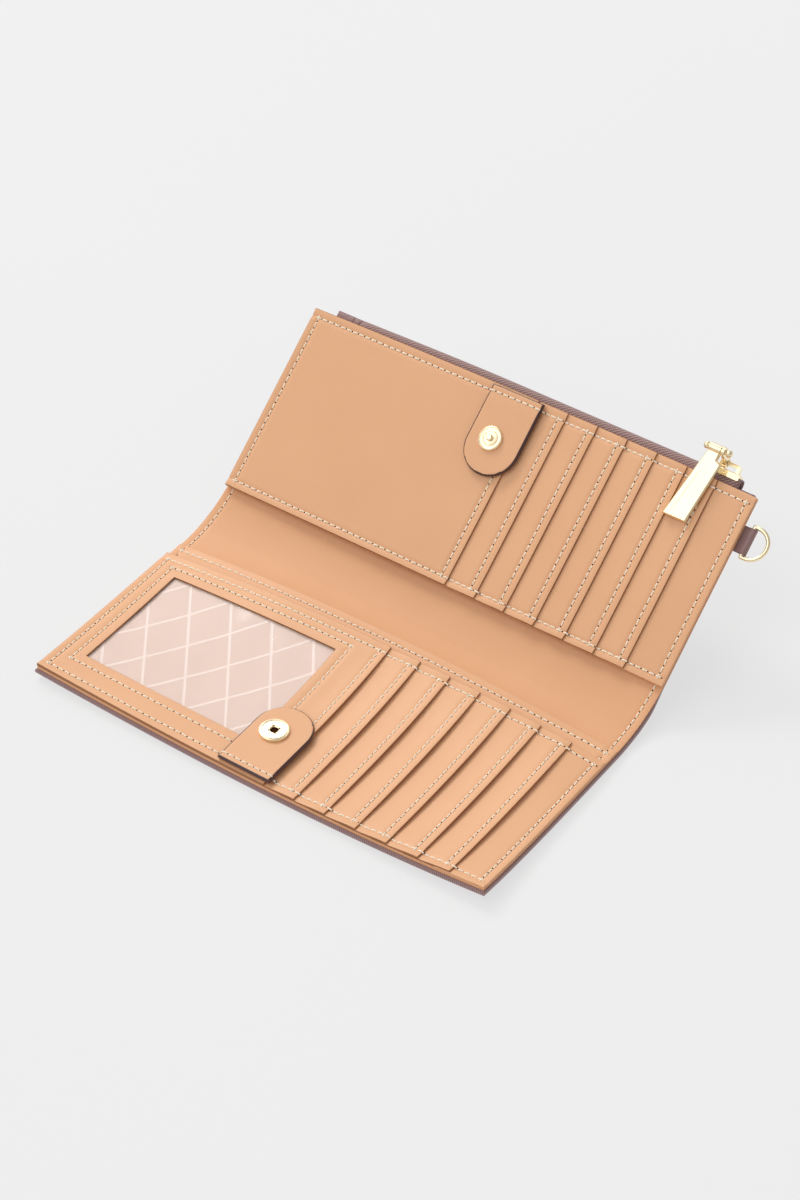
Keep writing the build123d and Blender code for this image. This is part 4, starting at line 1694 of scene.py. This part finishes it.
@dataclass
class SnapTab:
    """A snap tab with painted edges: its sewn end stays with the half and the rest lifts.

    Args:
        name: The piece's name.
        bed: The half's frame.
        bow: How the panel under it bows.
        nodes: The sewn end's and the free part's CAD nodes.
        bodies: The half's and the tab's bodies.
        toward: +1 where the tab points to larger v.
    """

    name: str
    bed: Bed
    bow: Bow
    nodes: tuple[str, str]
    bodies: tuple[str, str]
    toward: int
    bead: float = 0.85 * MM
    press: float = 0.35 * MM
    give: float = 1.6 * MM
    seam_in: float = SEAM_IN
    seam_width: float = 1.1 * MM

    def _sizes(self) -> tuple[float, float, float, float, float, float]:
        """Centre and half width in x, sewn end and round's centre in v, lower and upper height.

        Returns:
            The six sizes.
        """
        base_low, base_high = self.bed.extent(self.nodes[0])
        low, high = self.bed.extent(self.nodes[1])
        half = (high[0] - low[0]) / 2
        start = base_low[1] if self.toward > 0 else base_high[1]
        tip = high[1] if self.toward > 0 else low[1]
        return (low[0] + high[0]) / 2, half, start, tip - self.toward * half, low[2], high[2]

    def height(self, reach: Array) -> Array:
        """Height of the top at a distance from the sewn end."""
        top = self._sizes()[5]
        return top - self.press * np.exp(-(((reach - self.seam_in + 0.8 * MM) / self.seam_width) ** 2))

    def build(self) -> bpy.types.Object:
        """Builds the tab.

        Returns:
            The piece.
        """
        centre, half, start, round_v, low, high = self._sizes()
        straight = abs(round_v - start)
        edges = np.array([0.0, 0.12, 0.35, 0.7, 1.3])
        run = np.concatenate([edges * MM, np.linspace(2.2 * MM, straight, 16)])
        sweep = np.radians([8, 16, 24, 32, 40, 48, 55, 61, 66, 70, 74, 77, 80, 83, 86, 88.5, 90])
        reach = np.concatenate([run, straight + half * np.sin(sweep)])
        wide = half * np.concatenate([np.ones(len(run)), np.maximum(np.cos(sweep), 0.0)])
        side = np.array([0.0, 0.2, 0.4, 0.6, 0.74, 0.84, 0.9, 0.94, 0.965, 0.982, 0.993, 1.0])
        across = np.concatenate([-side[:0:-1], side])
        x = centre + np.outer(across, wide)
        far = np.outer(np.ones(len(across)), reach)
        inset = np.minimum(half - np.abs(x - centre), far)
        round_off = half - np.hypot(x - centre, far - straight)
        inset = np.maximum(np.where(far > straight, round_off, inset), 0.0)
        v = start + self.toward * far
        order = slice(None, None, self.toward)
        maker = SheetMesh(self.name, (TAN, PAINT), self.bead)
        piece = maker.build(x[:, order], v[:, order], self.height(far)[:, order],
                            np.full_like(x, high - low), inset[:, order],
                            lambda points: self.bed.place(self.bow.bend(points)))
        hinge = start + self.toward * (self.seam_in + 0.4 * MM)
        ends = self.bed.place([[centre, hinge - self.toward * self.give, high],
                               [centre, hinge + self.toward * self.give, high]])
        return settle_piece(piece, (*self.bodies, *ends), Slot.PANEL, *self.nodes)

    def span(self) -> tuple[float, float]:
        """The stretch of x that the tab covers."""
        centre, half = self._sizes()[:2]
        return centre - half, centre + half

    def across(self, v: float) -> tuple[Array, Array]:
        """Points over the tab along a seam at v, and the up directions.

        Args:
            v: Where the seam is.

        Returns:
            The points and directions.
        """
        left, right = self.span()
        x = np.linspace(left + 0.5 * MM, right - 0.5 * MM, 24)
        top = self.height(np.abs(np.full_like(x, v) - self._sizes()[2]))
        points = self.bow.bend(np.stack([x, np.full_like(x, v), top], axis=1))
        return self.bed.place(points), self.bed.up(points)


@dataclass
class ZipTop:
    """The zip along the far edge: two rolled tapes, their coils and the leather ends."""

    layout: Layout
    dip: float = 1.6 * MM
    level_from: float = 80.0 * MM
    tape: float = 0.5 * MM
    cover_coil: float = 0.15 * MM
    gap: float = 0.45 * MM
    roll: float = 1.9 * MM
    end_soft: float = 1.5 * MM
    end_root: float = 3.5 * MM
    crease_in: float = 3.4 * MM
    end_drop: float = 1.7 * MM
    tail_drop: float = 2.6 * MM

    def _dip(self, x: Array | float) -> Array | float:
        """How far the chain hangs below its level right part, which the slider runs along."""
        return -self.dip * np.clip(1.0 - x / self.level_from, 0.0, 1.0) ** 1.5

    def _tape(self, sign: int, middle: float, name: str, node: str) -> None:
        """One tape, rolled over its coil towards the middle of the chain.

        Args:
            sign: +1 for the front tape, -1 for the back one.
            middle: h of the chain's middle.
            name: The piece's name.
            node: The CAD node that it replaces.
        """
        bed = self.layout.far
        low, high = bed.extent(node)
        top = bed.extent("zip_coil_inner")[1][1] + self.cover_coil
        outer = (high[2] if sign > 0 else low[2]) - sign * self.tape / 2
        deep = abs(outer - middle) - self.gap
        turn = np.radians(np.linspace(0, 90, 11))
        rise = top - self.tape / 2
        run = np.linspace(low[1], rise - self.roll, 10)
        path_v = np.concatenate([run, rise - self.roll + self.roll * np.sin(turn[1:])])
        path_h = np.concatenate([np.full(len(run), outer), outer - sign * deep * (1 - np.cos(turn[1:]))])
        profile = thickened(np.column_stack([path_v, path_h]), self.tape / 2)
        xs = np.linspace(low[0], high[0], 60)
        piece = swept(name, profile, xs, self._dip, bed.place, TAPE)
        settle_piece(piece, "far_half", Slot.TAPE, node)

    def _coils(self) -> None:
        """Both rows of the coil, as one piece."""
        bed = self.layout.far
        paths = []
        for node in ("zip_coil_inner", "zip_coil_outer"):
            low, high = bed.extent(node)
            xs = np.linspace(low[0] + 0.5 * MM, high[0] - 0.5 * MM, 80)
            centre_v, centre_h = (low[1] + high[1]) / 2, (low[2] + high[2]) / 2
            points = np.stack([xs, centre_v + self._dip(xs), np.full_like(xs, centre_h)], axis=1)
            paths.append((bed.place(points), bed.up(points)))
        piece = CoilRow().tree().run("zip_coil", paths)
        settle_piece(piece, "far_half", Slot.COIL, "zip_coil_inner", "zip_coil_outer")

    def _end(self, name: str, x: tuple[float, float], top_v: float, *nodes: str) -> None:
        """A folded leather end over the chain.

        Args:
            name: The piece's name.
            x: Where it starts and ends.
            top_v: Its highest v.
            nodes: The CAD nodes that it replaces; its depth is the first one's.
        """
        low, high = self.layout.far.extent(nodes[0])
        v = (low[1] - self.end_root, top_v)
        crease = Seam((x[1] - self.crease_in, v[0]), (x[1] - self.crease_in, v[1]))
        layer = Layer(name, self.layout.far, Outline(x, v), level(high[2]), level(high[2] - low[2]),
                      self.layout.far_bow(v[1], reach=1.0), (MAUVE,), (crease,), soft=self.end_soft,
                      step=0.8 * MM, pull=0.3 * MM, pull_width=0.35 * MM)
        settle_piece(layer.build(), "far_half", Slot.COVER, *nodes)

    def build(self) -> None:
        """Builds the zip."""
        bed = self.layout.far
        middle = (bed.extent("zip_coil_inner")[0][2] + bed.extent("zip_coil_outer")[1][2]) / 2
        self._tape(1, middle, "zip_tape_front", "zip_tape_inner")
        self._tape(-1, middle, "zip_tape_back", "zip_tape_outer")
        self._coils()
        tape = bed.spans("zip_tape_inner")[0]
        low, high = bed.extent("zip_end_tab")
        self._end("zip_end_fold", (low[0], tape[0] + 0.5 * MM), high[1] - self.end_drop,
                  "zip_end_tab", "zip_stops")
        high = bed.extent("zip_tail")[1]
        self._end("zip_tail_fold", (tape[1] - 0.3 * MM, high[0] - MM), high[1] - self.tail_drop, "zip_tail")


@dataclass
class RingLoop:
    """The leather loop that holds the strap ring."""

    layout: Layout
    leather: float = 0.52 * MM
    pinch: float = 0.62 * MM
    wrap: float = 118.0
    neck: float = 0.9 * MM

    def build(self) -> None:
        """Builds the loop as a strap folded round the ring's bar."""
        bed = self.layout.far
        low, high = bed.extent("d_ring_tab")
        bar = bed.extent("d_ring")
        mid_h = (low[2] + high[2]) / 2
        radius = (high[2] - low[2]) / 2 - self.leather / 2
        bar_x = bar[0][0] + (bar[1][2] - bar[0][2]) / 2
        turn = np.radians(np.linspace(self.wrap, -self.wrap, 25))
        arc = np.column_stack([bar_x + radius * np.cos(turn), mid_h + radius * np.sin(turn)])
        legs_x = np.linspace(low[0], arc[0, 0] - self.neck, 6)
        upper = np.column_stack([legs_x, np.full_like(legs_x, mid_h + self.pinch)])
        lower = np.column_stack([legs_x[::-1], np.full_like(legs_x, mid_h - self.pinch)])
        profile = thickened(np.vstack([upper, arc, lower]), self.leather / 2)
        across = np.linspace(low[1], high[1], 10)
        piece = swept("ring_loop", profile, across, lambda v: 0.0 * v,
                      lambda points: bed.place(points[:, [1, 0, 2]]), MAUVE)
        settle_piece(piece, "far_half", Slot.COVER, "d_ring_tab")


@dataclass
class SnapRings:
    """Turned detail on the two halves of the snap."""

    layout: Layout
    turns: int = 40
    socket_bead: Pair = (0.75 * MM, 0.28 * MM)
    stud_beads: tuple[Pair, Pair] = ((0.5 * MM, 0.26 * MM), (2.0 * MM, 0.24 * MM))
    stud_face: float = 0.8 * MM
    throat: tuple[Pair, ...] = ((1.75, -0.15), (1.75, -0.6), (1.4, -0.6), (1.4, -0.2))
    well: tuple[Pair, ...] = ((1.7, -0.88), (1.7, -0.94), (0.02, -0.94), (0.02, -0.88))

    def _lathe(self, name: str, centre: Array, bed: Bed, outline: Sequence[tuple[float, float]],
               finish: Finish, body: str, square: float = 0.0) -> None:
        """A closed ring turned about the snap's axis.

        Args:
            name: The piece's name.
            centre: (x, v, h) of the snap.
            bed: The half's frame.
            outline: (radius, height) points of the section in order, in millimetres.
            finish: The finish.
            body: The body it rides on.
            square: How square the smallest radius is, from 0 to 1.
        """
        outline = [(r * MM, h * MM) for r, h in outline]
        radii = np.array([r for r, _ in outline])
        rows = []
        for angle in np.arange(self.turns) * 2 * math.pi / self.turns:
            squared = 1.0 / max(abs(math.cos(angle)), abs(math.sin(angle)))
            inner = np.where(radii <= radii.min() + WELD, 1.0 + square * (squared - 1.0), 1.0)
            rows += [(centre[0] + r * f * math.cos(angle), centre[1] + r * f * math.sin(angle), centre[2] + h)
                     for (r, h), f in zip(outline, inner)]
        count, faces = len(outline), []
        for k in range(self.turns):
            n = (k + 1) % self.turns
            for j in range(count):
                m = (j + 1) % count
                faces.append((k * count + j, n * count + j, n * count + m, k * count + m))
        mesh = bpy.data.meshes.new(name)
        mesh.from_pydata(bed.place(np.array(rows)).tolist(), [], faces)
        mesh.materials.append(finish.make())
        settle_piece(closed_object(name, mesh), body, Slot.GOLD)

    def build(self) -> None:
        """Builds the rings, a dark disc of painted shade for the socket's well, and its square throat."""
        near, far = self.layout.near, self.layout.far
        low, high = near.extent("snap_socket")
        centre = np.array([(low[0] + high[0]) / 2, (low[1] + high[1]) / 2, high[2]])
        self._ridge("socket_outer_bead", centre, near, (high[0] - low[0]) / 2, self.socket_bead, "socket_tab")
        self._lathe("socket_throat", centre, near, self.throat, GOLD, "socket_tab", 0.4)
        # A thin dark disc low in the socket: painted shade where the well lies in shadow.
        self._lathe("socket_well", centre, near, self.well, HOLE_SHADE, "socket_tab")
        low, high = far.extent("snap_stud")
        face = far.extent("stud_tab_leather")[1][2] + self.stud_face
        centre = np.array([(low[0] + high[0]) / 2, (low[1] + high[1]) / 2, face])
        for name, bead in zip(("stud_outer_bead", "stud_inner_bead"), self.stud_beads):
            self._ridge(name, centre, far, (high[0] - low[0]) / 2, bead, "stud_tab")

    def _ridge(self, name: str, centre: Array, bed: Bed, rim: float, bead: Pair, body: str) -> None:
        """A round bead standing on a face, by its distance in from the rim and its radius.

        Args:
            name: The piece's name.
            centre: (x, v, h) of the snap.
            bed: The half's frame.
            rim: Radius of the metal's rim.
            bead: Distance in from the rim, and the bead's radius.
            body: The body it rides on.
        """
        radius, size = (rim - bead[0]) / MM, bead[1] / MM
        angles = np.linspace(0.0, 2 * math.pi, 9)[:-1]
        outline = [(radius + size * math.cos(a), size * math.sin(a)) for a in angles]
        self._lathe(name, centre, bed, outline, GOLD, body)


@dataclass
class Hardware:
    """Carried-over nodes that keep their own shape."""

    gold: tuple[str, ...] = ("snap_socket", "snap_socket_cap", "snap_stud", "snap_stud_cap", "zip_slider",
                             "pull_link", "zip_pull", "pull_crossbar", "d_ring")

    def dress(self) -> None:
        """Gives each node its finish."""
        for name in self.gold:
            node = frame["nodes"][name]
            if not node.material_slots:
                node.data.materials.append(GOLD.make())
            for slot in node.material_slots:
                slot.material = GOLD.make()
            LOG.info("%s: its own shape, gold", name)


@dataclass
class Stitching:
    """All the stitching, one mesh for each body."""

    layout: Layout
    rows: dict[str, list[tuple[Array, Array]]] = field(default_factory=dict)
    raise_by: float = 0.02 * MM

    def add(self, body: str, *parts: tuple[Array, Array]) -> None:
        """Adds one continuous row made of parts that follow each other."""
        points = np.vstack([p for p, _ in parts])
        ups = np.vstack([u for _, u in parts])
        self.rows.setdefault(body, []).append((points + self.raise_by * ups, ups))

    def build(self) -> None:
        """Builds the rows of every body."""
        tree = StitchRow().tree()
        for body, rows in self.rows.items():
            piece = tree.run(f"stitches_{body}", rows)
            bend = self.layout.bend(body.split("_")[0]) if body.endswith("_fold") else body
            settle_piece(piece, bend, Slot.PANEL)


@dataclass
class Studio:
    """Pale floor, soft light and the camera.

    Args:
        lens: Focal length in millimetres on a 36 mm sensor.
        azimuth: Angle round the object, in degrees.
        elevation: Angle above the floor, in degrees.
        eye: The camera's place.
        glow: How brightly the lit floor shines.
        sky: Strength of the light from all round.
        floor_reach: Half the floor's width.
        lights: Name, place, width and power of each soft light.
    """

    lens: float = 103.275
    sensor: float = 36.0
    azimuth: float = 34.997
    elevation: float = 42.092
    eye: tuple[float, float, float] = (0.51267, -0.74220, 0.83666)
    glow: float = 0.64
    sky: float = 0.46
    floor_reach: float = 6.0
    lights: tuple[tuple[str, tuple[float, float, float], float, float], ...] = (
        ("key", (-3.1, 1.3, 3.1), 1.4, 84.0),
        ("back_card", (-1.9, 2.7, 3.0), 2.2, 30.0),
        ("front_card", (-1.7, -2.3, 3.2), 3.8, 60.0))

    def build(self) -> None:
        """Builds the floor, the lights, the world and the camera."""
        self._floor()
        for light in self.lights:
            self._light(*light)
        world = bpy.data.worlds.new("studio")
        world.use_nodes = True
        sky = world.node_tree.nodes["Background"]
        sky.inputs["Color"].default_value = (1.0, 1.0, 1.0, 1.0)
        sky.inputs["Strength"].default_value = self.sky
        scene = bpy.context.scene
        scene.world = world
        scene.view_settings.view_transform = "Standard"
        lens = bpy.data.cameras.new("camera")
        lens.lens, lens.sensor_width, lens.clip_start = self.lens, self.sensor, 0.01
        a, e = math.radians(self.azimuth), math.radians(self.elevation)
        back = Vector((math.sin(a) * math.cos(e), -math.cos(a) * math.cos(e), math.sin(e)))
        scene.camera = self._stand(link_object("camera", lens), self.eye, (-back).to_track_quat("-Z", "Y"))

    def _floor(self) -> None:
        """The pale floor."""
        paper = PlainFinish("studio_paper", (0.225,) * 3, (0.21,) * 3, (3.0, 2.0), {
            "Roughness": 0.95, "Specular_IOR_Level": 0.0, "Emission_Color": (1.0, 1.0, 1.0, 1.0),
            "Emission_Strength": self.glow})
        mesh = bpy.data.meshes.new("floor")
        corners = [(x * self.floor_reach, y * self.floor_reach, 0.0)
                   for x, y in ((-1, -1), (1, -1), (1, 1), (-1, 1))]
        mesh.from_pydata(corners, [], [(0, 1, 2, 3)])
        mesh.materials.append(paper.make())
        link_object("floor", mesh)

    def _light(self, name: str, place: tuple[float, float, float], size: float, power: float) -> None:
        """A square soft light that points at the wallet."""
        data = bpy.data.lights.new(name, "AREA")
        data.size, data.energy = size, power
        self._stand(link_object(name, data), place, Vector(place).to_track_quat("Z", "Y"))

    def _stand(self, thing: bpy.types.Object, place: tuple[float, float, float],
               turn: Quaternion) -> bpy.types.Object:
        """Puts a light or the camera in its place.

        Args:
            thing: The light or camera.
            place: Where it stands.
            turn: Which way it looks.

        Returns:
            The same object.
        """
        thing.location = place
        thing.rotation_mode = "QUATERNION"
        thing.rotation_quaternion = turn
        return thing


# ---------------------------------------------------------------- the wallet

@dataclass
class Wallet:
    """The whole wallet."""

    layout: Layout
    seam_in: float = SEAM_IN
    seam_gap: float = 0.6 * MM
    curl: float = CORNER_CURL
    near_bulge: float = NEAR_BULGE
    far_bulge: float = 1.1 * MM
    card_arch: float = 6.0 * MM
    slip_arch: float = 4.8 * MM
    far_arch: float = 1.0 * MM

    def build(self) -> None:
        """Builds every sub-assembly in order, inside out."""
        lay = self.layout
        near_v = lay.near.extent("id_frame")[1][1]
        slip_v = lay.near.extent("near_slip_panel")[1][1]
        far_low, far_high = lay.far.extent("bill_pocket_wall")
        near_bow = lay.near_bow(reach=near_v, arch=self.card_arch, curl=self.curl, bulge=self.near_bulge)
        slip_bow = lay.near_bow(reach=slip_v, arch=self.slip_arch, curl=self.curl, bulge=self.near_bulge)
        far_bow = lay.far_bow(far_high[1], reach=far_high[1] - far_low[1], arch=self.far_arch,
                              bulge=self.far_bulge)
        shell = Cover(lay)
        cover = shell.build()
        Stiffeners(lay).build(lay.near_bow(reach=lay.near_fold, curl=self.curl, bulge=self.near_bulge))
        gutter = Gutter(lay).build()
        LOG.info("cover and gutter: %d layers", len(cover) + len(gutter))
        slip, wall = BackPanels(lay).build(slip_bow, far_bow)
        near = CardPanel(lay, "near", lay.near, lay.folding(), "near_half", "id_frame", near_bow)
        far = CardPanel(lay, "far", lay.far, lay.far_folding(), "far_half", "far_flat_pocket", far_bow,
                        lift=0.08 * MM, lean=0.05 * MM, press=0.34 * MM)
        LOG.info("card panels: %d layers", len(near.build()) + len(far.build()))
        Window(lay, near_bow).build()
        CoinPocket(lay, shell).build()
        socket = SnapTab("socket_tab_strap", lay.near, near_bow, ("socket_tab_base", "socket_tab_leather"),
                         ("near_half", "socket_tab"), 1)
        stud = SnapTab("stud_tab_strap", lay.far, far_bow, ("stud_tab_base", "stud_tab_leather"),
                       ("far_half", "stud_tab"), -1)
        socket.build()
        stud.build()
        LOG.info("window, coin pocket and snap tabs")
        ZipTop(lay).build()
        RingLoop(lay).build()
        SnapRings(lay).build()
        Hardware().dress()
        LOG.info("zip, ring loop and hardware")
        self._stitch(near, far, slip, wall, socket, stud, gutter)
        LOG.info("stitching")

    def _stitch(self, near: CardPanel, far: CardPanel, slip: Layer, wall: Layer, socket: SnapTab,
                stud: SnapTab, gutter: list[Layer]) -> None:
        """Sews the wallet.

        Args:
            near: Near card panel.
            far: Far card panel.
            slip: Near slip pocket.
            wall: Far bill pocket wall.
            socket: Near snap tab.
            stud: Far snap tab.
            gutter: Near and far pieces of the lining.
        """
        rows = Stitching(self.layout)
        sides = (self.seam_in, self.layout.length - self.seam_in)
        for panel, tab, body in ((near, socket, "near_half"), (far, stud, "far_half")):
            v = panel.layers[0].outline.v
            front, back = v[0] + self.seam_in, v[1] - self.seam_in
            sewn, free = (front, back) if tab is socket else (back, front)
            left, right = tab.span()
            parts = [(part, layer.along(part)) for layer, part in panel.across(sewn, (left, right))]
            before = [row for part, row in parts if part.end[0] <= left + MM]
            after = [row for part, row in parts if part.start[0] >= right - MM]
            rows.add(body, *before, tab.across(sewn), *after)
            rows.add(body, *(layer.along(part) for layer, part in panel.across(free)))
            for layer, part in panel.open_edge_seams():
                rows.add(body, layer.along(part))
            for layer, x in zip((panel.layers[0], panel.layers[-1]), sides):
                rows.add(body, layer.along(Seam((x, front), (x, back))))
        front_panel = near.layers[0]
        for part in front_panel.seams[4:]:
            if part.start[1] == part.end[1] and part.start[1] < front_panel.outline.hole_v[0]:
                part = Seam(part.start, (socket.span()[0], part.end[1]))
            rows.add("near_half", front_panel.along(part))
        panel_end, slip_end = front_panel.outline.v[1], slip.outline.v[1]
        middle, wall_v = self.layout.middle(), self.layout.far_fold + wall.outline.v[0]
        rows.add("near_half", slip.along(slip.seams[0]))
        for x in sides:
            for body, layer, start, end in (
                    ("near_half", slip, panel_end + self.seam_gap, slip_end - self.seam_in),
                    ("near_fold", gutter[0], slip_end + self.seam_gap, middle),
                    ("far_fold", gutter[1], middle, wall_v - self.seam_gap)):
                rows.add(body, layer.along(Seam((x, start), (x, end))))
        rows.build()


def main() -> None:
    """Builds the wallet and the studio."""
    logging.basicConfig(level=logging.INFO, format="%(message)s")
    Wallet(Layout.read()).build()
    Studio().build()


if __name__ == "__main__":
    main()
